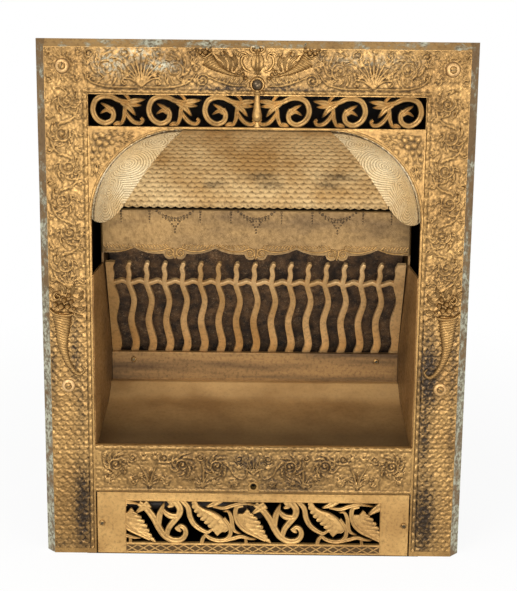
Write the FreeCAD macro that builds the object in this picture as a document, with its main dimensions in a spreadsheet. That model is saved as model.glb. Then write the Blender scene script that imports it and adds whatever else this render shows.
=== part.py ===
import FreeCAD, Part
import math
import os
import Sketcher
from FreeCAD import Placement, Rotation, Vector

# A cast-iron gas fireplace insert. Millimetres: X to the right, Y into the chimney, Z up.
# The origin is the middle of the face's bottom edge, on the plane of its front.

SIZES = [
    # Face frame
    ("frame_width", 610.0, "outer width of the face"),
    ("frame_height", 747.5, "outer height of the face"),
    ("stile_width", 74.0, "width of the face beside the opening"),
    ("face_thickness", 7.0, "thickness of the cast face plate"),
    ("rim_depth", 20.0, "depth of the frame at its rim"),
    ("bevel_side", 12.6, "width of the sloping rim at the sides"),
    ("bevel_top", 10.5, "width of the sloping rim at the top"),
    ("bevel_depth", 14.0, "how far the sloping rim falls back"),
    ("seat_width", 16.0, "width of the land that seats on the surround"),
    ("sill_top", 168.0, "height of the opening's lower edge"),
    ("arch_radius", 128.0, "radius of the opening's upper corners"),
    ("field_depth", 1.5, "depth of the sunk ornament fields"),
    ("field_margin", 9.0, "bead border between an edge and its field"),
    # Frieze
    ("crest_band", 74.5, "from the header window to the top of the face"),
    ("frieze_height", 44.0, "height of the header window"),
    ("frieze_rise", 3.0, "bar between the arch and the header window"),
    ("frieze_overhang", 2.0, "how far the header window passes the opening at each end"),
    ("frieze_lap", 8.0, "lap of the grille's border behind the face"),
    ("frieze_flange", 2.0, "thickness of the grille's border"),
    ("openwork_setback", 1.2, "openwork lies this far behind the face"),
    ("frieze_step", 16.0, "length of the straight runs that make a frieze scroll"),
    ("tie_half", 7.0, "half width of the tie under the frieze's middle"),
    ("tie_height", 11.0, "height of the tie under the frieze's middle"),
    # Lower grille
    ("panel_height", 96.0, "height of the lower grille"),
    ("panel_gap", 0.5, "clearance round the lower grille"),
    ("panel_end", 43.5, "plain end of the lower grille beside its window"),
    ("window_bottom", 16.5, "lower edge of the pierced window"),
    ("window_border", 14.5, "plain border above the pierced window"),
    ("panel_step", 20.0, "length of the straight runs that make a leaf scroll"),
    ("panel_screw_inset", 8.5, "grille screw from the grille's end"),
    ("panel_screw_z", 47.6, "grille screw's height"),
    ("lug_half", 8.0, "half width of a grille screw's lug"),
    ("lug_tall", 12.0, "half height of a grille screw's lug"),
    ("lug_tail", 14.0, "how far a lug is rooted behind the stile"),
    # Face bosses and fasteners
    ("boss_inset", 38.0, "boss from the face's edge"),
    ("boss_low", 258.0, "height of the lower bosses"),
    ("boss_drop", 36.5, "upper boss from the face's top"),
    ("boss_radius", 11.0, "radius of a boss"),
    ("boss_height", 8.0, "height of a boss"),
    ("boss_step", 3.0, "height of a boss's upright edge"),
    ("screw_hole", 3.3, "radius of a face screw's hole"),
    ("shank_gap", 0.3, "clearance round a screw's shank"),
    ("head_lap", 1.6, "how far a screw's head passes its shank"),
    ("head_height", 2.6, "height of a screw's head"),
    ("nut_wall", 5.0, "thickness of a nut"),
    ("nut_lap", 2.5, "how far a nut's flats stand off its screw"),
    ("screw_tail", 2.0, "how far a screw stands past its nut"),
    ("small_hole", 2.5, "radius of a small screw's hole"),
    ("small_gap", 0.1, "clearance round a small screw's shank"),
    # Key hole and damper
    ("key_rise", 10.4, "key hole above the lower grille"),
    ("key_radius", 4.75, "radius of the key hole"),
    ("key_rim_wall", 2.75, "width of the key hole's raised rim"),
    ("key_rim_height", 1.0, "height of the key hole's raised rim"),
    ("damper_rise", 15.4, "damper spindle above the header window"),
    ("spindle_radius", 4.0, "radius of the damper spindle"),
    ("running_gap", 0.08, "radial clearance of a turning fit"),
    ("seat_gap", 0.05, "radial clearance of a fixed fit"),
    ("bush_wall", 2.0, "wall of the spindle's bush"),
    ("escutcheon_radius", 11.5, "radius of the spindle's escutcheon"),
    ("escutcheon_height", 4.5, "how far the escutcheon stands off the face"),
    ("handle_reach", 18.0, "handle's middle in front of the face"),
    ("handle_drop", 51.0, "length of the drop below the spindle"),
    ("handle_ball", 8.0, "radius of the handle's ball"),
    ("handle_neck", 3.2, "radius of the drop at its neck"),
    ("handle_swell", 5.6, "radius of the drop at its swell"),
    # Ornaments
    ("crest_gap", 13.0, "crest above the damper spindle"),
    ("crest_height", 38.0, "height of the crest's vase"),
    ("crest_half", 80.0, "reach of a wing of the crest from the middle"),
    ("horn_length", 116.0, "length of a cornucopia"),
    ("horn_rise", 27.0, "cornucopia's foot above the lower boss"),
    ("horn_shift", 4.0, "cornucopia outside the boss's middle"),
    # Firebox
    ("cheek_reveal", 0.5, "how far a cheek covers the opening's edge"),
    ("cheek_splay", 0.03, "how much the cheeks close per unit of depth"),
    ("cheek_wall", 3.0, "thickness of a cheek"),
    ("cheek_skirt", 18.0, "how far the cheeks hang below the sill's top"),
    ("cheek_tail", 63.0, "how far the cheeks pass the bars' feet"),
    ("cheek_flange", 16.0, "width of a cheek's flange behind the face"),
    ("fit_gap", 0.3, "clearance between the firebox pieces"),
    ("pan_wall", 3.0, "thickness of the floor pan"),
    ("pan_drop", 12.0, "pan's front below the sill's top"),
    ("pan_rise", 39.5, "rise of the pan to where it turns up"),
    ("pan_turn", 45.0, "from where the pan turns up to the bars' feet"),
    ("ledge_rise", 61.0, "rise of the pan to its ledge"),
    ("ledge_width", 17.0, "width of the pan's ledge"),
    ("ledge_bend", 3.0, "radius under the ledge's bend"),
    ("pan_bend", 40.0, "radius of the pan's bend"),
    # Hood
    ("hood_gap", 2.5, "gap between the arch and the hood"),
    ("hood_wall", 3.0, "thickness of the hood"),
    ("hood_front", 10.0, "depth of the hood's front edge"),
    ("hood_lip_depth", 100.0, "depth of the hood's lower lip"),
    ("hood_fall", 121.0, "hood's lower lip below the arch"),
    ("hood_inset", 36.0, "end of the hood's lip from the opening's side"),
    ("hood_sag", 14.0, "how far the hood bellies back"),
    ("hood_dip", 13.0, "how far the corners' lower edges dip"),
    ("hood_dip_side", 3.0, "how far the corners' lower edges swing outwards"),
    ("hood_swell_side", 9.0, "how far the corners swell outwards"),
    ("hood_swell_depth", 3.0, "how far the corners swell back"),
    ("hood_swell_up", 8.0, "how far the corners swell upwards"),
    ("crease_lap", 3.0, "how far the hood's middle passes its corners' creases"),
    ("tab_x", 70.0, "hood tab from the middle"),
    ("tab_half", 12.0, "half width of a hood tab"),
    ("tab_height", 18.0, "height of a hood tab"),
    ("ear_width", 16.0, "width of a hood ear behind the face"),
    ("ear_rise", 4.0, "hood ear above the arch's spring"),
    ("ear_height", 20.0, "height of a hood ear"),
    ("ear_wall", 4.5, "thickness of a hood ear"),
    # Valance
    ("valance_setback", 3.0, "valance behind the hood's lip"),
    ("valance_wall", 4.0, "thickness of the valance"),
    ("valance_drop", 5.0, "valance's top below the hood's lip"),
    ("valance_side", 66.0, "height of the valance at its ends"),
    ("pendant_pitch", 120.5, "spacing of the scrolled pendants"),
    ("pendant_length", 76.0, "height of the valance at its pendants"),
    ("pendant_curl", 8.5, "radius of a pendant's curls"),
    ("cusp_length", 59.0, "height of the valance at its cusps"),
    ("valance_sag", 3.5, "sag of the valance's edge between its points"),
    # Flame grate
    ("tip_gap", 6.0, "bars' tips below the pendants"),
    ("tip_setback", 3.0, "bars' tips behind the valance's front"),
    ("grate_foot_depth", 185.0, "depth of the bars' feet"),
    ("bar_count", 15, "number of bars"),
    ("bar_depth", 6.0, "thickness of the bars"),
    ("bar_top_width", 5.6, "width of a bar near its tip"),
    ("bar_foot_width", 12.4, "width of a bar at its foot"),
    ("bar_wave", 3.4, "swing of a bar to each side"),
    ("bar_root", 12.0, "how far a bar runs down behind the rail"),
    ("bar_step", 19.0, "length of the straight runs that make a bar"),
    ("arch_width", 5.8, "width of the arches that tie the bars"),
    ("arch_rise", 5.0, "rise of the arches that tie the bars"),
    ("tie_share", 0.777, "height of the arches as a share of a bar's length"),
    ("end_gap", 9.0, "extra room between a side plate and the first bar"),
    ("side_plate", 13.0, "width of the grate's side plates"),
    ("rail_depth", 5.0, "thickness of the rail"),
    ("rail_height", 45.0, "height of the rail"),
    ("rail_edge", 2.5, "radius of the rail's upper edge"),
    ("rail_screw_inset", 40.0, "rail screw from the opening's side"),
    ("rail_screw_drop", 13.0, "rail screw below the rail's top"),
    ("foot_lift", 6.0, "bars' foot strip above the rail's lower edge"),
    # Radiant back
    ("fibre_gap", 34.0, "depth from the bars to the fibre"),
    ("fibre_wall", 16.0, "thickness of the fibre"),
    ("fibre_lift", 28.0, "fibre's lower edge above the rail's"),
    ("fibre_rise", 32.0, "fibre's upper edge above the bars' tips"),
    ("plate_wall", 3.4, "thickness of the back plate"),
    ("plate_rise", 12.0, "back plate's upper edge above the fibre's"),
    # Casing and flue
    ("casing_side_gap", 1.5, "gap between a cheek's flange and the casing"),
    ("casing_gap", 14.0, "gap behind the cheeks"),
    ("casing_drop", 47.5, "casing's lid below the face's top"),
    ("casing_wall", 2.0, "thickness of the casing"),
    ("flange_gap", 5.0, "gap round the casing's flange inside the frame's rim"),
    ("flue_depth", 150.0, "depth of the flue's axis"),
    ("flue_radius", 50.0, "outer radius of the flue collar"),
    ("flue_wall", 4.0, "wall of the flue collar"),
    ("flue_dip", 45.0, "how far the collar reaches below the lid"),
    ("flue_rise", 38.0, "how far the collar stands above the lid"),
    ("flue_lap", 16.0, "how far the collar's square flange passes it"),
    ("disc_gap", 2.0, "gap between the damper disc and the flue"),
    ("disc_wall", 2.5, "thickness of the damper disc"),
    ("disc_hub", 3.0, "wall of the damper disc's hub"),
    ("hub_inset", 9.0, "end of the disc's hub from the disc's edge"),
    # Burner and gas train
    ("burner_gap", 0.8, "gap between the bars' foot strip and the burner's cups"),
    ("burner_lift", 26.0, "burner's axis above the rail's lower edge"),
    ("burner_radius", 13.0, "outer radius of the burner and its mixer"),
    ("tube_wall", 2.5, "wall of the burner and its mixer"),
    ("burner_inset", 26.0, "burner's end from the opening's side"),
    ("cup_wall", 2.2, "wall of the cups at the burner's ends"),
    ("cup_depth", 15.0, "how far a cup takes the burner in"),
    ("port_pitch", 74.0, "spacing of the sawn flame slits"),
    ("port_length", 60.0, "length of a flame slit"),
    ("port_width", 1.6, "width of a flame slit"),
    ("spud_gap", 20.0, "mixer's mouth behind the valve body"),
    ("mouth_wall", 2.0, "wall across the mixer's mouth"),
    ("spud_radius", 5.0, "radius of the gas spud's nose"),
    ("spud_flats", 7.0, "length of the gas spud's flats"),
    ("spud_nose", 13.0, "length of the gas spud's nose"),
    ("spud_lap", 2.0, "how far the spud's flats stand off its nose"),
    ("window_setback", 10.0, "air windows behind the mixer's mouth"),
    ("window_length", 12.0, "length of the air windows"),
    ("window_height", 10.0, "height of the air windows"),
    ("shutter_wall", 2.0, "wall of the air shutter"),
    ("shutter_lap", 5.0, "how far the shutter passes its windows"),
    ("shutter_tab", 9.0, "height of the shutter's tab"),
    ("tab_wall", 3.0, "thickness of the shutter's tab"),
    ("tab_width", 8.0, "width of the shutter's tab"),
    ("valve_front", 32.0, "depth of the valve body's front"),
    ("valve_length", 36.0, "length of the valve body"),
    ("valve_radius", 11.0, "radius of the valve body"),
    ("valve_neck", 3.0, "how much slimmer the valve's nose is"),
    ("nose_length", 6.0, "length of the valve's nose"),
    ("valve_floor", 8.0, "wall behind the valve's plug"),
    ("plug_radius", 5.0, "radius of the valve's plug"),
    ("plug_gap", 1.0, "play at the ends of the plug"),
    ("stem_step", 1.0, "how much slimmer the stem is than the plug"),
    ("stem_length", 9.0, "length of the round stem in front of the valve"),
    ("key_square", 6.0, "length of the stem's square end"),
    ("gland_length", 6.0, "length of the packing nut"),
    ("gland_step", 2.0, "how much smaller the packing nut is than the valve"),
    ("supply_setback", 16.0, "supply pipe behind the valve's front"),
    ("supply_drop", 46.4, "supply pipe below the valve"),
    ("supply_radius", 10.65, "outer radius of the supply pipe"),
    ("supply_wall", 2.65, "wall of the supply pipe"),
    ("supply_stub", 26.0, "how far the supply pipe stands out of the casing"),
    ("inlet_gap", 1.0, "clearance round the supply pipe in the casing"),
    ("pipe_inset", 12.0, "where the pipe starts in the elbow"),
    ("elbow_wall", 4.0, "wall of the elbow round the pipe"),
    ("elbow_swell", 2.5, "how much stouter the elbow's upright is"),
    ("elbow_reach", 28.0, "length of the elbow's arm"),
    ("elbow_rise", 20.0, "height of the elbow's socket above the pipe"),
    ("socket_depth", 10.0, "depth of the elbow's upper socket"),
    ("thread_length", 20.0, "length of the pipe's end that takes the union"),
    ("thread_relief", 0.35, "how much slimmer the pipe's end is"),
]

# Sizes that follow from those above.
TIED = [
    ("opening_width", "frame_width - 2 * stile_width", "width of the firebox opening"),
    ("frieze_top", "frame_height - crest_band", "upper edge of the header window"),
    ("frieze_bottom", "frieze_top - frieze_height", "lower edge of the header window"),
    ("frieze_width", "opening_width + 2 * frieze_overhang", "width of the header window"),
    ("arch_top", "frieze_bottom - frieze_rise", "height of the opening's upper edge"),
    ("panel_width", "opening_width - 2 * panel_gap", "width of the lower grille"),
    ("window_width", "panel_width - 2 * panel_end", "width of the grille's pierced window"),
    ("window_top", "panel_height - window_border", "upper edge of the pierced window"),
    ("panel_screw_x", "panel_width / 2 - panel_screw_inset", "grille screw from the middle"),
    ("boss_x", "frame_width / 2 - boss_inset", "boss from the middle"),
    ("boss_high", "frame_height - boss_drop", "height of the upper bosses"),
    ("small_shank", "small_hole - small_gap", "radius of a small screw's shank"),
    ("key_height", "panel_height + key_rise", "height of the key hole"),
    ("key_rim", "key_radius + key_rim_wall", "radius of the key hole's raised rim"),
    ("damper_height", "frieze_top + damper_rise", "height of the damper spindle"),
    ("cheek_front", "opening_width / 2 - cheek_reveal", "half width between the cheeks at the face"),
    ("cheek_bottom", "sill_top - cheek_skirt", "lower edge of a cheek"),
    ("cheek_back", "grate_foot_depth + cheek_tail", "depth of a cheek's rear edge"),
    ("pan_front", "sill_top - pan_drop", "height of the pan behind the sill"),
    ("pan_knee", "pan_front + pan_rise", "height where the pan turns up"),
    ("pan_knee_depth", "grate_foot_depth - pan_turn", "depth where the pan turns up"),
    ("pan_ledge_depth", "grate_foot_depth - ledge_width", "depth where the pan's ledge starts"),
    ("hood_lip", "arch_top - hood_fall", "height of the hood's lower lip"),
    ("hood_lip_half", "opening_width / 2 - hood_inset", "half length of the hood's lower lip"),
    ("valance_depth", "hood_lip_depth + valance_setback", "depth of the valance's front"),
    ("valance_top", "hood_lip - valance_drop", "upper edge of the valance"),
    ("valance_half", "opening_width / 2", "half width of the valance"),
    ("valance_end", "valance_top - valance_side", "lower edge of the valance at its ends"),
    ("pendant_bottom", "valance_top - pendant_length", "lowest point of the pendants"),
    ("cusp_height", "valance_top - cusp_length", "height of the cusps between pendants"),
    ("grate_top", "pendant_bottom - tip_gap", "height of the bars' tips"),
    ("grate_top_depth", "valance_depth + tip_setback", "depth of the bars' tips"),
    ("rail_bottom", "pan_front + ledge_rise", "lower edge of the rail"),
    ("grate_foot", "rail_bottom + rail_height", "height of the bars' feet"),
    ("rail_screw_x", "opening_width / 2 - rail_screw_inset", "rail screw from the middle"),
    ("rail_screw_z", "grate_foot - rail_screw_drop", "height of the rail screws"),
    ("fibre_bottom", "rail_bottom + fibre_lift", "lower edge of the fibre"),
    ("fibre_top", "grate_top + fibre_rise", "upper edge of the fibre"),
    ("plate_top", "fibre_top + plate_rise", "upper edge of the back plate"),
    ("casing_half", "cheek_front + cheek_flange + casing_side_gap + casing_wall", "half width of the casing"),
    ("casing_back", "cheek_back + casing_gap", "depth of the casing's back"),
    ("casing_top", "frame_height - casing_drop", "height of the casing"),
    ("flange_half", "frame_width / 2 - seat_width - flange_gap", "half width of the casing's flange"),
    ("flange_top", "frame_height - seat_width - flange_gap", "upper edge of the casing's flange"),
    ("flue_bottom", "casing_top - flue_dip", "lower edge of the flue collar"),
    ("flue_top", "casing_top + flue_rise", "upper edge of the flue collar"),
    ("flue_flange", "flue_radius + flue_lap", "half width of the collar's flange"),
    ("burner_depth", "grate_foot_depth + bar_depth + burner_gap + cup_wall + burner_radius",
     "depth of the burner's axis"),
    ("burner_height", "rail_bottom + burner_lift", "height of the burner's axis"),
    ("burner_half", "opening_width / 2 - burner_inset", "half length of the burner"),
    ("valve_back", "valve_front + valve_length", "depth of the valve body's back"),
    ("mixer_front", "valve_back + spud_gap", "depth of the mixer's mouth"),
    ("window_front", "mixer_front + window_setback", "depth where the air windows start"),
    ("supply_depth", "valve_front + supply_setback", "depth of the supply pipe"),
    ("supply_height", "key_height - supply_drop", "height of the supply pipe"),
    ("supply_reach", "casing_half + supply_stub", "length of the supply run from the middle"),
    ("thread_radius", "supply_radius - thread_relief", "radius of the pipe's end that takes the union"),
]

# Cutters reach this far past what they cut.
PAST = 1.0
# Flat sides that stand for a small round, a screw, a pipe and the damper's disc.
SIDES = 12
SCREW_SIDES = 8
PIPE_SIDES = 24
DISC_SIDES = 36

# One lobe of the frieze: strokes as (points, widths at start, middle and end).
# Points are measured from the middle of the lobe's spiral.
FRIEZE_STROKES = [
    ([(33, 12), (20, 14), (9, 19), (-3, 19.5), (-13, 14), (-17, 1), (-12, -11), (-1, -17), (9, -13),
      (11.5, -4), (8, 4)], (6.5, 8.0, 7.0)),
    ([(9.5, 0), (2, 6), (-6.5, 10.5)], (7.5, 6.0, 0.8)),
    ([(9, -2), (2, 1), (-7.5, -4.5)], (6.5, 5.5, 0.8)),
    ([(27, 11), (40, 13.5), (55.5, 15.5)], (4.0, 8.0, 0.8)),
    ([(27, 11), (38, 8.5), (50.5, 7.5)], (4.0, 7.0, 0.8)),
    ([(22, 12), (33, 5), (42.5, -7)], (6.0, 8.0, 0.8)),
    ([(29, 12), (27, -1), (26, -9), (22, -17.5), (16, -18)], (6.0, 6.5, 4.0)),
    ([(26, 2), (33, -9), (40, -15.5), (48, -17), (52, -12.5), (49, -9.5)], (5.0, 6.5, 4.5)),
    ([(29, 10), (33, 15), (31, 19), (27, 23.5)], (5.0, 5.0, 6.0)),
    ([(11, -19), (16, -17.5), (21, -16)], (2.0, 7.0, 4.0)),
]
FRIEZE_LOBE_X = 209.5
FRIEZE_LOBE_Z = 21.5
FRIEZE_LOBE_PITCH = 77.3
# The window that the strokes are drawn for; they stretch with it.
FRIEZE_DRAWN_WIDTH = 466.0
FRIEZE_DRAWN_HEIGHT = 44.0

# One length of the lower grille's running leaf scroll, in the same form.
PANEL_STROKES = [
    ([(3, 78), (15, 68), (25, 54), (32, 40), (40, 28), (52, 20.5), (65, 21.5), (71.5, 30), (70, 39),
      (64, 42.5), (59, 38)], (9.0, 10.0, 6.0)),
    ([(57, 41), (61, 37), (66, 34)], (5.0, 6.0, 1.0)),
    ([(43, 27), (47, 40), (55, 51), (62, 61), (63, 71), (56, 81.5)], (8.0, 9.5, 11.0)),
    ([(32, 42), (33, 58), (40.5, 79.5)], (7.0, 9.5, 0.8)),
    ([(60, 58), (50, 58), (42, 63), (38, 70)], (7.0, 9.0, 3.0)),
    ([(48, 83), (52, 76), (44, 72)], (9.0, 8.0, 1.0)),
    ([(66, 83), (75, 72), (78, 58), (84, 46), (94, 37.5), (104, 33.5), (111, 38)], (7.0, 8.0, 4.0)),
    ([(84, 85), (97, 64), (112, 51), (124, 44), (133, 33)], (5.0, 27.0, 12.0)),
    ([(118, 27.5), (114, 36), (117, 46)], (0.8, 11.0, 12.0)),
    ([(100, 31), (107, 24.5), (119, 20.5), (131, 22), (137.5, 30), (137, 42), (128, 56)], (5.0, 6.5, 5.0)),
    ([(95, 13), (97, 23), (103, 31)], (7.0, 6.0, 4.0)),
    ([(128, 20), (142, 24), (154, 27), (166, 24), (177, 23)], (4.0, 6.0, 1.0)),
    ([(160, 25), (161, 19), (161, 13)], (4.0, 5.0, 7.0)),
    ([(126, 66), (134, 66.5), (139, 57), (140.5, 45), (144, 36), (154, 31)], (1.0, 7.0, 1.0)),
    ([(101, 73), (113, 77.5), (124, 84)], (1.0, 8.0, 9.0)),
    ([(112, 73.5), (128, 71.5), (142, 76), (157, 79), (178, 76)], (3.0, 6.0, 1.0)),
    ([(156, 76), (147, 73), (145, 62), (149, 49), (159, 38), (174, 30), (190, 22)], (6.0, 8.0, 6.0)),
    ([(151, 56), (166, 49), (190, 36)], (12.0, 24.0, 16.0)),
    ([(154, 60), (161, 64), (163, 71)], (8.0, 9.0, 0.8)),
    ([(168, 61), (176, 68), (189, 77)], (1.0, 9.0, 14.0)),
]
PANEL_REPEAT = 171.0
PANEL_DRAWN_WIDTH = 374.0
PANEL_DRAWN_LOW = 16.5
PANEL_DRAWN_HEIGHT = 65.0

# The crest's vase as (height, radius), its left wing and the left cornucopia as (x, z, radius, relief).
# The first two are drawn for a vase 38 high and a wing that reaches 80, the last for a horn 116 long.
VASE = [(0, 6), (4, 5), (13, 13), (26, 8), (33, 12), (38, 5)]
VASE_DRAWN = 38.0
WING = [(-9, 8, 5, 6), (-26, 5, 8, 8), (-46, 11, 10, 9), (-66, 22, 11, 9), (-80, 30, 5, 4)]
WING_DRAWN = 80.0
HORN = [(24, 8, 1.8, 1.8), (20, 1, 2.8, 2.8), (13, 1.5, 4, 4), (8, 13, 6.5, 6), (4, 35, 10, 8),
        (0, 76, 15.5, 10), (-2, 100, 14.5, 10), (-1, 116, 6, 6)]
HORN_DRAWN = 116.0

# Where the hood's corner shells are cut into ruled bands, from the arch to the lip's end.
HOOD_STEPS = (0, 0.24, 0.48, 0.72, 0.95)
HOOD_SHARES = 7
# Straight runs across the hood's belly.
HOOD_RUNS = 6
# Points on each bracket of the valance's edge.
VALANCE_SPOTS = 5

doc = FreeCAD.newDocument("gas_fireplace_insert")
dim = doc.addObject("Spreadsheet::Sheet", "dim")
ruled = [(alias, "=" + formula, meaning) for alias, formula, meaning in TIED]
for row, (alias, content, meaning) in enumerate(SIZES + ruled, start=1):
    dim.set(f"A{row}", alias)
    dim.set(f"B{row}", str(content))
    dim.set(f"C{row}", meaning)
    dim.setAlias(f"B{row}", alias)
doc.recompute()

pieces = []


def value(expression):
    """The number that a spreadsheet expression gives now."""
    return float(dim.evalExpression(expression))


def size(alias):
    """The number in one named cell."""
    return float(dim.get(alias))


def body(label):
    """A new body that is one piece of the insert."""
    made = doc.addObject("PartDesign::Body", label)
    made.Label = label
    pieces.append(made)
    return made


def shaped(label, shape):
    """A piece whose shape is worked out from the sheet's sizes."""
    made = doc.addObject("Part::Feature", label)
    made.Label = label
    made.Shape = shape
    pieces.append(made)
    return made


def drawing(owner, role, lift="0"):
    """A sketch on one of the body's own planes, lifted along that plane's normal."""
    made = owner.newObject("Sketcher::SketchObject", owner.Label + "_sketch")
    plane = [part for part in owner.Origin.OriginFeatures if part.Role == role][0]
    made.AttachmentSupport = (plane, [""])
    made.MapMode = "FlatFace"
    made.setExpression("AttachmentOffset.Base.z", lift)
    return made


def hold(sketch, edge, end, axis, expression):
    """Ties one coordinate of a sketch point to the sheet."""
    rule = Sketcher.Constraint("Distance" + axis, -1, 1, edge, end, value(expression))
    number = sketch.addConstraint(rule)
    sketch.setExpression(f"Constraints[{number}]", expression)


def outline(sketch, corners):
    """A closed outline of straight edges through corners given as expressions."""
    first = sketch.GeometryCount
    spots = [Vector(value(across), value(up), 0) for across, up in corners]
    count = len(spots)
    for i in range(count):
        sketch.addGeometry(Part.LineSegment(spots[i], spots[(i + 1) % count]), False)
    for i, (across, up) in enumerate(corners):
        before = first + (i - 1) % count
        sketch.addConstraint(Sketcher.Constraint("Coincident", before, 2, first + i, 1))
        hold(sketch, first + i, 1, "X", across)
        hold(sketch, first + i, 1, "Y", up)


def rectangle(sketch, left, right, low, high):
    outline(sketch, [(left, low), (right, low), (right, high), (left, high)])


def circle(sketch, across, up, radius):
    """A circle whose middle and radius follow the sheet."""
    middle = Vector(value(across), value(up), 0)
    number = sketch.addGeometry(Part.Circle(middle, Vector(0, 0, 1), value(radius)), False)
    rule = sketch.addConstraint(Sketcher.Constraint("Radius", number, value(radius)))
    sketch.setExpression(f"Constraints[{rule}]", radius)
    hold(sketch, number, 3, "X", across)
    hold(sketch, number, 3, "Y", up)


def screw_way(sketch, across, up, radius):
    """A flat-sided hole for a screw, whose flats stand a radius from its middle."""
    corners = []
    for turn in range(SCREW_SIDES):
        angle = 2 * math.pi * (turn + 0.5) / SCREW_SIDES
        reach = 1 / math.cos(math.pi / SCREW_SIDES)
        corners.append((f"{across} + {radius} * {reach * math.cos(angle):.6f}",
                        f"{up} + {radius} * {reach * math.sin(angle):.6f}"))
    outline(sketch, corners)


def pad(owner, sketch, length, reverse=False, both_ways=False):
    """Material added along the sketch's normal, against it, or half each way."""
    made = owner.newObject("PartDesign::Pad", owner.Label + "_pad")
    made.Profile = sketch
    made.setExpression("Length", length)
    made.Reversed = reverse
    if both_ways:
        made.SideType = "Symmetric"
    doc.recompute()
    return made


def pocket(owner, sketch, length=None, reverse=False, both_ways=False):
    """Material taken away, right through where no length is given."""
    volume_before = owner.Shape.Volume
    made = owner.newObject("PartDesign::Pocket", owner.Label + "_pocket")
    made.Profile = sketch
    made.Reversed = reverse
    if both_ways:
        made.SideType = "Symmetric"
    if length is None:
        made.Type = "ThroughAll"
    else:
        made.setExpression("Length", length)
    doc.recompute()
    if owner.Shape.Volume >= volume_before:
        raise RuntimeError(f"a pocket of {owner.Label} cuts nothing")
    return made


def edges_through(shape, spots):
    """Names of the straight edges that pass through given (axis, value) pairs."""
    names = []
    for number, edge in enumerate(shape.Edges, start=1):
        ends = [vertex.Point for vertex in edge.Vertexes]
        if all(abs(getattr(end, axis) - number_at) < 0.01 for end in ends for axis, number_at in spots):
            names.append(f"Edge{number}")
    return names


def round_edges(owner, spot_list, radius):
    """Rounds the edges of a body that lie at the given places."""
    base = owner.Tip
    names = []
    for spots in spot_list:
        names += edges_through(base.Shape, spots)
    made = owner.newObject("PartDesign::Fillet", owner.Label + "_round")
    made.Base = (base, names)
    made.setExpression("Radius", radius)
    doc.recompute()
    return made


def rod(x, y, z, direction, length, radius):
    """A plain cylinder solid from a point along a direction."""
    return Part.makeCylinder(radius, length, Vector(x, y, z), direction)


def block(x_low, x_high, y_low, y_high, z_low, z_high):
    """A plain box solid between two corners."""
    return Part.makeBox(x_high - x_low, y_high - y_low, z_high - z_low, Vector(x_low, y_low, z_low))


def ribbon(points, widths, front, back, step):
    """One stroke of cast openwork: a line that swells and tapers, pressed through its depth."""
    line = Part.BSplineCurve()
    line.interpolate([Vector(x, front, z) for x, z in points])
    curve = line.toShape()
    count = max(3, math.ceil(curve.Length / step) + 1)
    spots = curve.discretize(Number=count)
    start, middle, end = widths
    left = []
    right = []
    for i, spot in enumerate(spots):
        along = spots[min(i + 1, count - 1)] - spots[max(i - 1, 0)]
        along.normalize()
        share = i / (count - 1)
        width = start * (1 - share) * (1 - 2 * share) + 4 * middle * share * (1 - share)
        width += end * share * (2 * share - 1)
        side = Vector(-along.z, 0, along.x) * (max(width, 0.8) / 2)
        left.append(spot + side)
        right.append(spot - side)
    right.reverse()
    face = Part.Face(Part.makePolygon(left + right + left[:1]))
    if not face.isValid():
        raise RuntimeError(f"the stroke from {points[0]} crosses itself")
    return face.extrude(Vector(0, back - front, 0))


def faceted(rings):
    """A solid skinned with flat facets from ring to ring, each end closed across from bank to bank."""
    faces = []

    def facet(*spots):
        faces.append(Part.Face(Part.makePolygon(list(spots) + [spots[0]])))

    count = len(rings[0])
    for near, far in zip(rings, rings[1:]):
        for i in range(count):
            j = (i + 1) % count
            facet(near[i], near[j], far[j])
            facet(near[i], far[j], far[i])
    for ring in (rings[0], rings[-1]):
        for i in range(count // 2 - 1):
            facet(ring[i], ring[i + 1], ring[-2 - i])
            facet(ring[i], ring[-2 - i], ring[-1 - i])
    skin = Part.makeShell(faces)
    skin.sewShape()
    solid = Part.makeSolid(skin)
    if solid.Volume < 0:
        solid.reverse()
    return solid


def joined(solids):
    """One solid out of several that overlap."""
    return solids[0].multiFuse(solids[1:]).removeSplitter()


def mirrored(shape):
    """The same shape on the other side of the middle plane."""
    return shape.mirror(Vector(0, 0, 0), Vector(1, 0, 0))


def cheek_half(depth):
    """Half width between the cheeks at a depth."""
    return size("cheek_front") - size("cheek_splay") * depth


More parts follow.
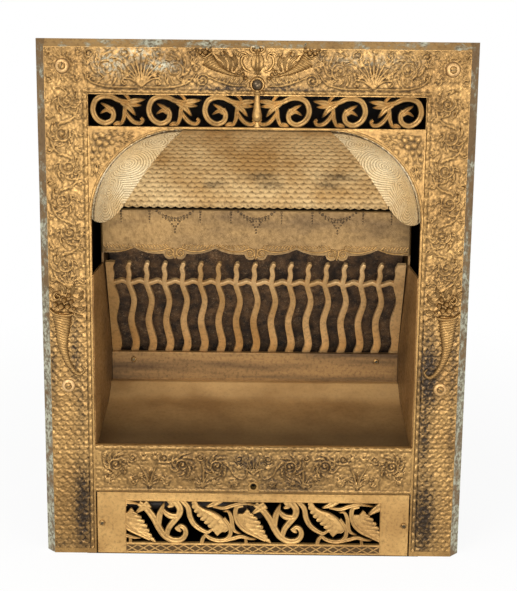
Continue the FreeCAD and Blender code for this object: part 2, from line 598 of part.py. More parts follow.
def make_face_frame():
    """The ornamented front: a hollow-backed casting with a sloping rim."""
    frame = body("face_frame")
    front = drawing(frame, "XZ_Plane")
    rectangle(front, "dim.bevel_side - dim.frame_width / 2", "dim.frame_width / 2 - dim.bevel_side",
              "0", "dim.frame_height - dim.bevel_top")
    rim = drawing(frame, "XZ_Plane", "-dim.bevel_depth")
    rectangle(rim, "-dim.frame_width / 2", "dim.frame_width / 2", "0", "dim.frame_height")
    slope = frame.newObject("PartDesign::AdditiveLoft", "face_frame_slope")
    slope.Profile = front
    slope.Sections = [rim]
    slope.Ruled = True
    doc.recompute()
    land = drawing(frame, "XZ_Plane", "-dim.bevel_depth")
    rectangle(land, "-dim.frame_width / 2", "dim.frame_width / 2", "0", "dim.frame_height")
    pad(frame, land, "dim.rim_depth - dim.bevel_depth", reverse=True)
    hollow = drawing(frame, "XZ_Plane", "-dim.rim_depth")
    rectangle(hollow, "dim.seat_width - dim.frame_width / 2", "dim.frame_width / 2 - dim.seat_width",
              "-dim.panel_gap", "dim.frame_height - dim.seat_width")
    pocket(frame, hollow, "dim.rim_depth - dim.face_thickness", reverse=True)
    opening = drawing(frame, "XZ_Plane")
    rectangle(opening, "-dim.opening_width / 2", "dim.opening_width / 2", "dim.sill_top", "dim.arch_top")
    pocket(frame, opening)
    half = size("opening_width") / 2
    top = size("arch_top")
    round_edges(frame, [[("x", -half), ("z", top)], [("x", half), ("z", top)]], "dim.arch_radius")
    windows = drawing(frame, "XZ_Plane")
    rectangle(windows, "-dim.frieze_width / 2", "dim.frieze_width / 2", "dim.frieze_bottom", "dim.frieze_top")
    rectangle(windows, "-dim.panel_width / 2 - dim.panel_gap", "dim.panel_width / 2 + dim.panel_gap",
              "-dim.panel_gap", "dim.panel_height + dim.panel_gap")
    pocket(frame, windows)
    fields = drawing(frame, "XZ_Plane")
    inner = "(dim.frieze_width / 2 + dim.field_margin)"
    outer = "(dim.frame_width / 2 - dim.seat_width)"
    high = "dim.frame_height - dim.seat_width"
    low = "dim.field_margin"
    header = "dim.frieze_top + dim.field_margin"
    outline(fields, [(inner, low), (outer, low), (outer, high), ("-" + outer, high), ("-" + outer, low),
                     ("-" + inner, low), ("-" + inner, header), (inner, header)])
    rectangle(fields, "dim.field_margin - dim.opening_width / 2", "dim.opening_width / 2 - dim.field_margin",
              "dim.panel_height + dim.field_margin / 2", "dim.sill_top - dim.field_margin")
    pocket(frame, fields, "dim.field_depth")
    rim_ring = drawing(frame, "XZ_Plane", "-dim.field_depth")
    circle(rim_ring, "0", "dim.key_height", "dim.key_rim")
    pad(frame, rim_ring, "dim.field_depth + dim.key_rim_height")
    spindle_seat = drawing(frame, "XZ_Plane", "-dim.field_depth")
    circle(spindle_seat, "0", "dim.damper_height", "dim.escutcheon_radius")
    pad(frame, spindle_seat, "dim.field_depth")
    lugs = drawing(frame, "XZ_Plane", "-dim.face_thickness")
    for side in ("-", ""):
        near = f"{side}(dim.panel_screw_x - dim.lug_half)"
        far = f"{side}(dim.panel_width / 2 + dim.lug_tail)"
        rectangle(lugs, near, far, "dim.panel_screw_z - dim.lug_tall", "dim.panel_screw_z + dim.lug_tall")
    pad(frame, lugs, "dim.rim_depth - dim.bevel_depth", reverse=True)
    holes = drawing(frame, "XZ_Plane", "dim.boss_height")
    circle(holes, "0", "dim.key_height", "dim.key_radius")
    circle(holes, "0", "dim.damper_height", "dim.spindle_radius + dim.bush_wall")
    for side in ("-", ""):
        for level in ("dim.boss_low", "dim.boss_high"):
            screw_way(holes, f"{side}dim.boss_x", level, "dim.screw_hole")
        screw_way(holes, f"{side}dim.panel_screw_x", "dim.panel_screw_z", "dim.small_hole")
    pocket(frame, holes)


def make_frieze_grille():
    """Six mirrored scroll lobes in a lapped border behind the header window."""
    front = size("openwork_setback")
    seat = size("face_thickness")
    back = seat + size("frieze_flange")
    half = size("frieze_width") / 2
    low = size("frieze_bottom")
    high = size("frieze_top")
    lap = size("frieze_lap")
    gap = size("seat_gap")
    border = block(-half - lap, half + lap, seat, back, size("arch_top") + size("panel_gap"), high + lap)
    border = border.cut(block(-half, half, seat - PAST, back + PAST, low, high))
    stretch = size("frieze_width") / FRIEZE_DRAWN_WIDTH
    rise = size("frieze_height") / FRIEZE_DRAWN_HEIGHT
    window = block(-half + gap, half - gap, front, seat, low + gap, high - gap)
    window = window.fuse(block(-half, half, seat, back, low, high))
    lobes = []
    for number in range(3):
        middle = FRIEZE_LOBE_PITCH * number - FRIEZE_LOBE_X
        for points, widths in FRIEZE_STROKES:
            placed = [((x + middle) * stretch, low + (z + FRIEZE_LOBE_Z) * rise) for x, z in points]
            drawn = [width * min(stretch, rise) for width in widths]
            lobes.append(ribbon(placed, drawn, front, back, size("frieze_step")))
    left = joined(lobes)
    tie = block(-size("tie_half"), size("tie_half"), front, back, low + gap, low + size("tie_height"))
    return shaped("frieze_grille", joined([border, left.common(window), mirrored(left).common(window), tie]))


def make_lower_grille():
    """The lift-out panel with its running leaf scroll."""
    half = size("panel_width") / 2
    thickness = size("face_thickness")
    front = size("openwork_setback")
    window_half = size("window_width") / 2
    low = size("window_bottom")
    high = size("window_top")
    plate = block(-half, half, 0, thickness, 0, size("panel_height"))
    plate = plate.cut(block(-window_half, window_half, -PAST, thickness + PAST, low, high))
    stretch = size("window_width") / PANEL_DRAWN_WIDTH
    rise = (high - low) / PANEL_DRAWN_HEIGHT
    strokes = []
    for copy in range(3):
        for points, widths in PANEL_STROKES:
            shift = PANEL_REPEAT * copy
            placed = [((x - shift) * stretch, low + (z - PANEL_DRAWN_LOW) * rise) for x, z in points]
            across = [x for x, z in placed]
            drawn = [width * min(stretch, rise) for width in widths]
            if max(across) > -window_half and min(across) < window_half:
                strokes.append(ribbon(placed, drawn, front, thickness - front, size("panel_step")))
    room = block(-window_half - PAST, window_half + PAST, 0, thickness, low - PAST, high + PAST)
    scroll = joined(strokes).common(room)
    panel = joined([plate] + scroll.Solids)
    for side in (-1, 1):
        start = Vector(side * size("panel_screw_x"), -PAST, size("panel_screw_z"))
        along = Vector(0, 1, 0)
        panel = panel.cut(many_sided(start, along, thickness + 2 * PAST, size("small_hole"), SCREW_SIDES))
    return shaped("lower_grille", panel)


def hood_profile():
    """Depth and height of the hood's middle at its top, belly and lip, with the outward direction at each."""
    top = Vector(0, size("hood_front"), size("arch_top") - size("hood_gap"))
    lip = Vector(0, size("hood_lip_depth"), size("hood_lip"))
    chord = lip - top
    outward = Vector(0, -chord.z, chord.y).normalize()
    belly = (top + lip) * 0.5 + outward * size("hood_sag")
    turn = math.degrees(2 * math.atan(2 * size("hood_sag") / chord.Length))
    at_top = Rotation(Vector(1, 0, 0), turn).multVec(outward)
    at_lip = Rotation(Vector(1, 0, 0), -turn).multVec(outward)
    return [(top, at_top), (belly, outward), (lip, at_lip)]


def hood_corner_point(share, step):
    """A point of the left corner shell: share runs up the arch, step runs from the arch to the lip's end."""
    radius = size("arch_radius") - size("hood_gap")
    centre_x = size("arch_radius") - size("opening_width") / 2
    centre_z = size("arch_top") - size("arch_radius")
    angle = math.radians(180 - 90 * share)
    around = Vector(math.cos(angle), 0, math.sin(angle)) * radius
    arch = Vector(centre_x, size("hood_front"), centre_z) + around
    apex = Vector(-size("hood_lip_half"), size("hood_lip_depth"), size("hood_lip"))
    bow = 4 * step * (1 - step)
    belly = hood_profile()[1][0] - (hood_profile()[0][0] + hood_profile()[2][0]) * 0.5
    dip = Vector(-size("hood_dip_side"), 0, -size("hood_dip")) * (bow * (1 - share))
    swell = Vector(-size("hood_swell_side"), size("hood_swell_depth"), size("hood_swell_up"))
    swell = swell * (bow * 4 * share * (1 - share))
    return arch * (1 - step) + apex * step + belly * (bow * share) + dip + swell


def make_hood():
    """The recessed reflector: a bellied middle and two shell corners in one casting."""
    wall = size("hood_wall")
    (top_spot, top_out), (belly, belly_out), (lip, lip_out) = hood_profile()
    inner = Part.Arc(top_spot, belly, lip).toShape().discretize(Number=HOOD_RUNS + 1)
    outer = Part.Arc(lip + lip_out * wall, belly + belly_out * wall, top_spot + top_out * wall).toShape()
    rim = inner + outer.discretize(Number=HOOD_RUNS + 1)
    section = Part.Face(Part.makePolygon(rim + rim[:1]))
    reach = size("hood_lip_half") + size("crease_lap")
    middle = section.extrude(Vector(2 * reach, 0, 0))
    middle.translate(Vector(-reach, 0, 0))
    crease = [hood_corner_point(1, step / 5) for step in range(6)]
    left_side = [Vector(spot.x - size("crease_lap"), 0, spot.z) for spot in crease]
    left_side = [Vector(left_side[0].x, 0, top_spot.z + 2 * wall)] + left_side
    left_side.append(Vector(left_side[-1].x, 0, lip.z - 2 * wall))
    right_side = [Vector(-spot.x, 0, spot.z) for spot in reversed(left_side)]
    keep = Part.Face(Part.makePolygon(left_side + right_side + left_side[:1]))
    middle = middle.common(keep.extrude(Vector(0, 2 * lip.y, 0)))
    square_on = Vector(-0.71, 0, 0.71) * wall
    slanting = Vector(-0.70, 0.19, 0.69) * wall
    shells = []
    for step in HOOD_STEPS:
        inner = [hood_corner_point(share / HOOD_SHARES, step) for share in range(HOOD_SHARES + 1)]
        outward = square_on if step == 0 else slanting
        shells.append(inner + [spot + outward for spot in reversed(inner)])
    corner = faceted(shells)
    back = size("face_thickness") + size("frieze_flange")
    top = size("arch_top") - size("hood_gap")
    tab = size("tab_half")
    tabs = [block(x - tab, x + tab, back, back + wall, top - PAST, top + size("tab_height"))
            for x in (-size("tab_x"), size("tab_x"))]
    ear_low = size("arch_top") - size("arch_radius") + size("ear_rise")
    edge = size("opening_width") / 2 - size("hood_gap")
    ear = block(-edge - size("ear_width"), -edge + size("fit_gap"), size("face_thickness"),
                size("face_thickness") + size("ear_wall"), ear_low, ear_low + size("ear_height"))
    whole = joined([middle, corner, mirrored(corner), ear, mirrored(ear)] + tabs)
    return shaped("hood", whole)


def make_valance():
    """A plain panel whose lower edge runs in brackets between scrolled pendants."""
    half = size("valance_half")
    depth = size("valance_depth")
    pitch = size("pendant_pitch")
    low = size("pendant_bottom")
    cusp = size("cusp_height")
    end = size("valance_end")
    top = size("valance_top")
    curl = size("pendant_curl")
    sag = Vector(0, 0, -size("valance_sag"))

    def at(x, z):
        return Vector(x, depth, z)

    def arc(start, through, finish):
        return Part.Arc(start, through, finish).toShape().discretize(Number=VALANCE_SPOTS)

    first = at(-half, end)
    left_cusp = at(-1.5 * pitch, cusp)
    rim = [at(-half, top)] + arc(first, (first + left_cusp) * 0.5 + sag, left_cusp)
    for number in (-1, 0, 1):
        middle = number * pitch
        shoulder = at(middle - 2 * curl, low + curl)
        rim += arc(left_cusp, (left_cusp + shoulder) * 0.5 + sag, shoulder)[1:]
        notch = at(middle, low + curl * 0.6)
        rim += arc(shoulder, at(middle - curl, low), notch)[1:]
        far = at(middle + 2 * curl, low + curl)
        rim += arc(notch, at(middle + curl, low), far)[1:]
        right_cusp = at(middle + pitch / 2, cusp)
        rim += arc(far, (far + right_cusp) * 0.5 + sag, right_cusp)[1:]
        left_cusp = right_cusp
    last = at(half, end)
    rim += arc(left_cusp, (left_cusp + last) * 0.5 + sag, last)[1:]
    rim.append(at(half, top))
    panel = Part.Face(Part.makePolygon(rim + rim[:1])).extrude(Vector(0, size("valance_wall"), 0))
    ends = []
    for edge in panel.Edges:
        spots = [vertex.Point for vertex in edge.Vertexes]
        if all(abs(abs(spot.x) - half) < 0.01 and abs(spot.y - depth) < 0.01 for spot in spots):
            ends.append(edge)
    return shaped("valance_panel", panel.makeFillet(size("valance_wall") - size("panel_gap"), ends))


def bar_path(length):
    """A bar's centre line up the grate: (sideways swing, height from the foot) pairs."""
    swing = size("bar_wave")
    return [(-0.6 * swing, -size("bar_root")), (-0.2 * swing, 0), (0.7 * swing, 0.11 * length),
            (-0.9 * swing, 0.35 * length), (swing, 0.58 * length), (-0.9 * swing, 0.77 * length),
            (-0.4 * swing, 0.87 * length), (-0.8 * swing, 0.94 * length), (0.3 * swing, length)]


def make_flame_grate():
    """Wavy bars on a foot strip, tied by a row of shallow arches between two side plates."""
    rise = size("grate_top") - size("grate_foot")
    fall = size("grate_foot_depth") - size("grate_top_depth")
    length = math.hypot(rise, fall)
    lean = math.degrees(math.atan2(fall, rise))
    deep = size("bar_depth")
    count = int(size("bar_count"))
    outer = cheek_half(size("grate_foot_depth")) - size("fit_gap")
    plate_inner = outer - size("side_plate")
    pitch = 2 * (plate_inner - size("end_gap")) / count
    path = bar_path(length)
    wide = size("bar_foot_width")
    slim = size("bar_top_width")
    widths = (wide, 0.5 * (wide + slim), slim)
    solids = []
    for number in range(count):
        x = (number - (count - 1) / 2) * pitch
        solids.append(ribbon([(x + across, up) for across, up in path], widths, 0, deep, size("bar_step")))
    tie_height = size("tie_share") * length
    for number in range(count + 1):
        x = (number - count / 2) * pitch
        ends = tie_height - size("arch_rise") / 2
        crown = tie_height + size("arch_rise") / 2
        arch = [(x - pitch / 2 - PAST, ends), (x, crown), (x + pitch / 2 + PAST, ends)]
        solids.append(ribbon(arch, [size("arch_width")] * 3, 0, deep, size("bar_step")))
    for side in (-1, 1):
        line = Part.BSplineCurve()
        line.interpolate([Vector(side * plate_inner + across, 0, up) for across, up in path])
        curve = line.toShape()
        wave = curve.discretize(Number=math.ceil(curve.Length / size("bar_step")))
        corners = [Vector(side * outer, 0, length), Vector(side * outer, 0, path[0][1])]
        solids.append(Part.Face(Part.makePolygon(wave + corners + wave[:1])).extrude(Vector(0, deep, 0)))
    bars = joined(solids)
    bars.Placement = Placement(Vector(0, size("grate_foot_depth"), size("grate_foot")),
                               Rotation(Vector(1, 0, 0), lean))
    foot = block(-outer, outer, size("grate_foot_depth"), size("grate_foot_depth") + deep,
                 size("rail_bottom") + size("foot_lift"), size("grate_foot") - PAST)
    in_front = block(-outer, outer, 0, size("grate_foot_depth"), size("rail_bottom"),
                     size("grate_foot") - 2 * PAST)
    grate = joined([bars.cut(in_front), foot])
    for side in (-1, 1):
        start = Vector(side * size("rail_screw_x"), size("grate_foot_depth") - PAST, size("rail_screw_z"))
        along = Vector(0, 1, 0)
        grate = grate.cut(many_sided(start, along, deep + 2 * PAST, size("small_hole"), SCREW_SIDES))
    return shaped("flame_grate", grate)


def make_grate_rail():
    """The plain bar screwed across the feet of the grate."""
    rail = body("grate_rail")
    face = drawing(rail, "XZ_Plane", "dim.rail_depth - dim.grate_foot_depth")
    reach = "(dim.cheek_front - dim.cheek_splay * dim.grate_foot_depth - dim.fit_gap)"
    rectangle(face, "-" + reach, reach, "dim.rail_bottom", "dim.grate_foot")
    for side in ("-", ""):
        screw_way(face, f"{side}dim.rail_screw_x", "dim.rail_screw_z", "dim.small_hole")
    pad(rail, face, "dim.rail_depth", reverse=True)
    front = size("grate_foot_depth") - size("rail_depth")
    round_edges(rail, [[("y", front), ("z", size("grate_foot"))]], "dim.rail_edge")


def make_cheek(label, side):
    """One splayed side wall, with a flange behind the face and a riser behind the valance."""
    cheek = body(label)
    plan = drawing(cheek, "XY_Plane", "dim.cheek_bottom")
    near = "(dim.cheek_front - dim.cheek_splay * dim.face_thickness)"
    far = "(dim.cheek_front - dim.cheek_splay * dim.cheek_back)"
    flange = "(dim.cheek_front + dim.cheek_flange)"
    step = "dim.face_thickness + dim.cheek_wall"
    corners = [(near, "dim.face_thickness"), (flange, "dim.face_thickness"), (flange, step),
               (f"({near} + dim.cheek_wall)", step), (f"({far} + dim.cheek_wall)", "dim.cheek_back"),
               (far, "dim.cheek_back")]
    outline(plan, [(side + across, along) for across, along in corners])
    pad(cheek, plan, "dim.valance_top - dim.cheek_bottom")
    cut = drawing(cheek, "YZ_Plane")
    rectangle(cut, "0", "dim.valance_depth + dim.valance_wall", "dim.grate_top", "dim.valance_top + 1")
    pocket(cheek, cut, f"2 * (dim.cheek_front + dim.cheek_flange + {PAST})", both_ways=True)


def make_floor_pan():
    """The scooped hearth pan between the cheeks, its rear ledge under the rail."""
    pan = body("floor_pan")
    profile = drawing(pan, "YZ_Plane")
    ledge_end = "dim.grate_foot_depth"
    top = [("dim.face_thickness", "dim.pan_front"), ("dim.pan_knee_depth", "dim.pan_knee"),
           ("dim.pan_ledge_depth", "dim.rail_bottom"), (ledge_end, "dim.rail_bottom")]
    under = [(along, f"{up} - dim.pan_wall") for along, up in reversed(top)]
    outline(profile, top + under)
    pad(pan, profile, "2 * dim.cheek_front", both_ways=True)
    for level, radius in ((0, "dim.pan_bend"), (size("pan_wall"), "dim.pan_bend + dim.pan_wall")):
        knee = [("y", size("pan_knee_depth")), ("z", size("pan_knee") - level)]
        round_edges(pan, [knee], radius)
    for level, radius in ((0, "dim.pan_wall + dim.ledge_bend"), (size("pan_wall"), "dim.ledge_bend")):
        ledge = [("y", size("pan_ledge_depth")), ("z", size("rail_bottom") - level)]
        round_edges(pan, [ledge], radius)
    trim = drawing(pan, "XY_Plane")
    near = "(dim.cheek_front - dim.cheek_splay * dim.face_thickness - dim.fit_gap)"
    far = "(dim.cheek_front - dim.cheek_splay * dim.grate_foot_depth - dim.fit_gap)"
    for side in ("-", ""):
        beyond = f"{side}(dim.cheek_front + {PAST})"
        outline(trim, [(side + near, "dim.face_thickness"), (beyond, "dim.face_thickness"),
                       (beyond, ledge_end), (side + far, ledge_end)])
    pocket(pan, trim, reverse=True)


def make_radiant_back():
    """The fibre slab behind the bars and the iron plate that carries it."""
    lean = "((dim.grate_foot_depth - dim.grate_top_depth) / (dim.grate_top - dim.grate_foot))"

    def depth_at(level):
        return f"(dim.grate_foot_depth + dim.fibre_gap - ({level} - dim.grate_foot) * {lean})"

    width = "2 * (dim.cheek_front - dim.cheek_splay * dim.cheek_back - dim.fit_gap)"
    low = depth_at("dim.fibre_bottom")
    high = depth_at("dim.fibre_top")
    slab = body("fibre_back")
    profile = drawing(slab, "YZ_Plane")
    outline(profile, [(low, "dim.fibre_bottom"), (f"({low} + dim.fibre_wall)", "dim.fibre_bottom"),
                      (f"({high} + dim.fibre_wall)", "dim.fibre_top"), (high, "dim.fibre_top")])
    pad(slab, profile, width, both_ways=True)
    plate = body("back_plate")
    section = drawing(plate, "YZ_Plane")
    top = depth_at("dim.plate_top")
    under = "(dim.fibre_bottom - dim.plate_wall)"
    outline(section, [(low, under), (f"({depth_at(under)} + dim.fibre_wall + dim.plate_wall)", under),
                      (f"({top} + dim.fibre_wall + dim.plate_wall)", "dim.plate_top"),
                      (f"({top} + dim.fibre_wall)", "dim.plate_top"),
                      (f"({low} + dim.fibre_wall)", "dim.fibre_bottom"), (low, "dim.fibre_bottom")])
    pad(plate, section, width, both_ways=True)


def make_casing():
    """The sheet-iron box behind the face, open below, with a flange that the face screws clamp."""
    casing = body("rear_casing")
    walls = drawing(casing, "XY_Plane")
    inside = "(dim.casing_half - dim.casing_wall)"
    corners = [("-dim.casing_half", "dim.face_thickness"), ("-dim.casing_half", "dim.casing_back"),
               ("dim.casing_half", "dim.casing_back"), ("dim.casing_half", "dim.face_thickness"),
               (inside, "dim.face_thickness"), (inside, "dim.casing_back - dim.casing_wall"),
               ("-" + inside, "dim.casing_back - dim.casing_wall"), ("-" + inside, "dim.face_thickness")]
    outline(walls, corners)
    pad(casing, walls, "dim.casing_top")
    lid = drawing(casing, "XY_Plane", "dim.casing_top - dim.casing_wall")
    rectangle(lid, "-dim.casing_half", "dim.casing_half", "dim.face_thickness", "dim.casing_back")
    circle(lid, "0", "dim.flue_depth", "dim.flue_radius + dim.fit_gap")
    pad(casing, lid, "dim.casing_wall")
    flange = drawing(casing, "XZ_Plane", "-dim.face_thickness")
    far = "dim.flange_half"
    high = "dim.flange_top"
    near = "(dim.casing_half - dim.casing_wall)"
    under = "dim.casing_top - dim.casing_wall"
    outline(flange, [(near, "0"), (far, "0"), (far, high), ("-" + far, high), ("-" + far, "0"),
                     ("-" + near, "0"), ("-" + near, under), (near, under)])
    pad(casing, flange, "dim.casing_wall", reverse=True)
    holes = drawing(casing, "XZ_Plane")
    for side in ("-", ""):
        for level in ("dim.boss_low", "dim.boss_high"):
            screw_way(holes, f"{side}dim.boss_x", level, "dim.screw_hole")
    pocket(casing, holes, "dim.face_thickness + 2 * dim.casing_wall")
    inlet = drawing(casing, "YZ_Plane")
    circle(inlet, "dim.supply_depth", "dim.supply_height", "dim.supply_radius + dim.inlet_gap")
    pocket(casing, inlet, "dim.casing_half + 1")


def make_flue():
    """The round collar through the casing's lid, drilled for the damper spindle."""
    depth = size("flue_depth")
    radius = size("flue_radius")
    inner = radius - size("flue_wall")
    low = size("flue_bottom")
    lid = size("casing_top")
    high = size("flue_top")
    wide = size("flue_flange")
    up = Vector(0, 0, 1)
    along = Vector(0, 1, 0)
    within = radius * math.cos(math.pi / DISC_SIDES)
    collar = many_sided(Vector(0, depth, low), up, lid - low + PAST, within, DISC_SIDES)
    collar = collar.fuse(block(-wide, wide, depth - wide, depth + wide, lid, lid + size("flue_wall")))
    collar = collar.fuse(rod(0, depth, lid, up, high - lid, radius))
    throat = many_sided(Vector(0, depth, low - PAST), up, high - low + 2 * PAST, inner, DISC_SIDES)
    collar = collar.cut(throat)
    bore = size("spindle_radius") + size("running_gap")
    before = Vector(0, depth - wide, size("damper_height"))
    spindle_way = many_sided(before, along, 2 * wide, bore / math.cos(math.pi / SIDES), SIDES)
    shaped("flue_collar", collar.cut(spindle_way).removeSplitter())


def make_damper():
    """Drop handle, spindle, butterfly disc and retaining nut, all turning together."""
    level = size("damper_height")
    radius = size("spindle_radius")
    bore = radius + size("seat_gap")
    front = -size("handle_reach")
    rear = size("flue_depth") + size("flue_radius")
    nut_wall = size("nut_wall")
    along = Vector(0, 1, 0)
    play = size("panel_gap")
    end = rear + play + nut_wall + size("screw_tail")
    shaped("damper_spindle", rod(0, front, level, along, end - front, radius))
    middle = size("flue_depth")
    disc_radius = size("flue_radius") - size("flue_wall") - size("disc_gap")
    across = Vector(1, 0, 0)
    plate = size("disc_wall")
    disc = many_sided(Vector(-plate / 2, middle, level), across, plate, disc_radius, DISC_SIDES)
    hub_half = disc_radius - size("hub_inset")
    hub_radius = radius + size("disc_hub")
    hub = many_sided(Vector(0, middle - hub_half, level), along, 2 * hub_half, hub_radius, SIDES)
    hollow = rod(0, 0, level, along, rear, bore)
    shaped("damper_disc", disc.fuse(hub).cut(hollow).removeSplitter())
    nut = many_sided(Vector(0, rear + play, level), along, nut_wall, radius + 2 * size("bush_wall"), 6)
    shaped("damper_nut", nut.cut(many_sided(Vector(0, rear, level), along, nut_wall + 2 * PAST, bore, SIDES)))
    ball = size("handle_ball")
    drop = size("handle_drop")
    neck = size("handle_neck")
    swell = size("handle_swell")
    hub = [(0.55 * ball, -0.85 * ball), (ball, -0.3 * ball), (ball, 0.4 * ball), (0.7 * ball, 0.9 * ball)]
    knob = faceted([rim_points(wide, Vector(0, depth, 0), along, SIDES) for wide, depth in hub])
    pull = [(neck, -0.6 * ball), (neck, -drop * 0.4), (swell, -drop * 0.86), (swell * 0.5, -drop)]
    up = Vector(0, 0, 1)
    pendant = faceted([rim_points(wide, Vector(0, 0, high), up, SIDES) for wide, high in pull])
    handle = knob.fuse(pendant)
    handle.translate(Vector(0, front, level))
    socket = many_sided(Vector(0, front, level), along, 2 * ball, bore, SIDES)
    shaped("damper_handle", handle.cut(socket).removeSplitter())


def rim_points(radius, middle, axis, sides):
    """Points round a middle, square to an axis that lies along X, Y or Z."""
    first = Vector(0, 1, 0) if axis.x else Vector(1, 0, 0)
    other = axis.cross(first)
    points = []
    for turn in range(sides):
        angle = 2 * math.pi * (turn + 0.5) / sides
        points.append(middle + first * (radius * math.cos(angle)) + other * (radius * math.sin(angle)))
    return points


def many_sided(start, axis, length, reach, sides):
    """A straight bar whose flat sides stand a reach from its axis, or a round one where it has no sides."""
    if not sides:
        return Part.makeCylinder(reach, length, start, axis)
    ring = rim_points(reach / math.cos(math.pi / sides), start, axis, sides)
    return Part.Face(Part.makePolygon(ring + ring[:1])).extrude(axis * length)


def spun(corners, x, y, z, sides):
    """A flat-sided piece about an axis along Y: corners are (radius, depth from y), from front to back."""
    rings = [rim_points(radius, Vector(x, y + depth, z), Vector(0, 1, 0), sides) for radius, depth in corners]
    return faceted(rings)


def make_damper_escutcheon():
    """The flanged bush in the header that carries the spindle's front."""
    level = size("damper_height")
    bore = size("spindle_radius") + size("running_gap")
    outer = size("spindle_radius") + size("bush_wall") - size("seat_gap")
    rim = size("escutcheon_radius")
    proud = size("escutcheon_height")
    along = Vector(0, 1, 0)
    length = size("face_thickness") + size("frieze_flange")
    flange = spun([(rim - size("bush_wall"), -proud), (rim, 0)], 0, 0, level, SIDES)
    within = outer * math.cos(math.pi / SIDES)
    bush = flange.fuse(many_sided(Vector(0, -PAST, level), along, length + PAST, within, SIDES))
    bush = bush.cut(rod(0, -proud - PAST, level, along, proud + length + 2 * PAST, bore))
    shaped("damper_escutcheon", bush.removeSplitter())


def boss_places():
    levels = (size("boss_low"), size("boss_high"))
    return [(side * size("boss_x"), level) for side in (-1, 1) for level in levels]


def make_face_fasteners():
    """Four domed rosettes, their screws and the nuts behind the casing's flange."""
    floor = size("field_depth")
    radius = size("boss_radius")
    top = floor - size("boss_height")
    hole = size("screw_hole")
    shank = hole - size("shank_gap")
    rear = size("face_thickness") + size("casing_wall")
    nut_wall = size("nut_wall")
    along = Vector(0, 1, 0)
    edge = floor - size("boss_step")
    dome = [(0.55 * radius, top), (radius, edge), (radius, floor)]
    bosses = []
    screws = []
    nuts = []
    for x, z in boss_places():
        way = many_sided(Vector(x, top - PAST, z), along, floor - top + 2 * PAST, hole, SCREW_SIDES)
        bosses.append(spun(dome, x, 0, z, SIDES).cut(way))
        screws.append(screw(x, top, z, rear + nut_wall + size("screw_tail") - top, shank))
        nut = many_sided(Vector(x, rear, z), along, nut_wall, shank + size("nut_lap"), 6)
        reach = shank + size("seat_gap")
        way = many_sided(Vector(x, rear - PAST, z), along, nut_wall + 2 * PAST, reach, SCREW_SIDES)
        nuts.append(nut.cut(way))
    shaped("face_bosses", Part.makeCompound(bosses))
    shaped("face_screws", Part.makeCompound(screws))
    shaped("face_nuts", Part.makeCompound(nuts))


def screw(x, y, z, length, shank):
    """A domed head in front of a depth and a plain shank behind it, inside the shank's radius."""
    tall = size("head_height")
    head = spun([(shank, -tall), (shank + size("head_lap"), 0)], x, y, z, SCREW_SIDES)
    within = shank * math.cos(math.pi / SCREW_SIDES)
    stem = many_sided(Vector(x, y - PAST, z), Vector(0, 1, 0), length + PAST, within, SCREW_SIDES)
    return head.fuse(stem).removeSplitter()


def make_small_screws(label, x, z, front, length):
    """A pair of round-head screws, one each side of the middle."""
    screws = [screw(side * x, front, z, length, size("small_shank")) for side in (-1, 1)]
    shaped(label, Part.makeCompound(screws))


def horn(stations, floor):
    """A tapering horn lying on the face: stations are (x, z, radius, height of relief)."""
    rings = []
    for number, (x, z, radius, relief) in enumerate(stations):
        before = stations[max(number - 1, 0)]
        after = stations[min(number + 1, len(stations) - 1)]
        along = Vector(after[0] - before[0], 0, after[1] - before[1])
        across = Vector(along.z, 0, -along.x).normalize()
        ring = []
        for turn in range(8):
            angle = math.pi * turn / 7
            ring.append(Vector(x, floor, z) + across * (radius * math.cos(angle))
                        + Vector(0, -relief * math.sin(angle), 0))
        rings.append(ring)
    return faceted(rings)


def make_crest():
    """The vase between two horned wings under the top rim."""
    floor = size("field_depth")
    foot = size("damper_height") + size("crest_gap")
    grow = size("crest_height") / VASE_DRAWN
    reach = size("crest_half") / WING_DRAWN
    vase = horn([(0, foot + up * grow, radius * grow, radius * grow) for up, radius in VASE], floor)
    wing_line = [(x * reach, foot + z * grow, radius * grow, relief * grow) for x, z, radius, relief in WING]
    wing = horn(wing_line, floor)
    border = size("frame_height") - size("seat_width")
    rim = block(-size("frame_width"), size("frame_width"), 0, floor + PAST, border, size("frame_height"))
    shaped("crest_ornament", joined([vase, wing, mirrored(wing)]).cut(rim))


def make_cornucopias():
    """A curled horn on each stile."""
    floor = size("field_depth")
    middle = size("boss_x") + size("horn_shift")
    level = size("boss_low") + size("horn_rise")
    grow = size("horn_length") / HORN_DRAWN
    line = []
    for x, z, radius, relief in HORN:
        line.append((x * grow - middle, z * grow + level, radius * grow, relief * grow))
    curl = horn(line, floor)
    shaped("left_cornucopia", curl)
    shaped("right_cornucopia", mirrored(curl))


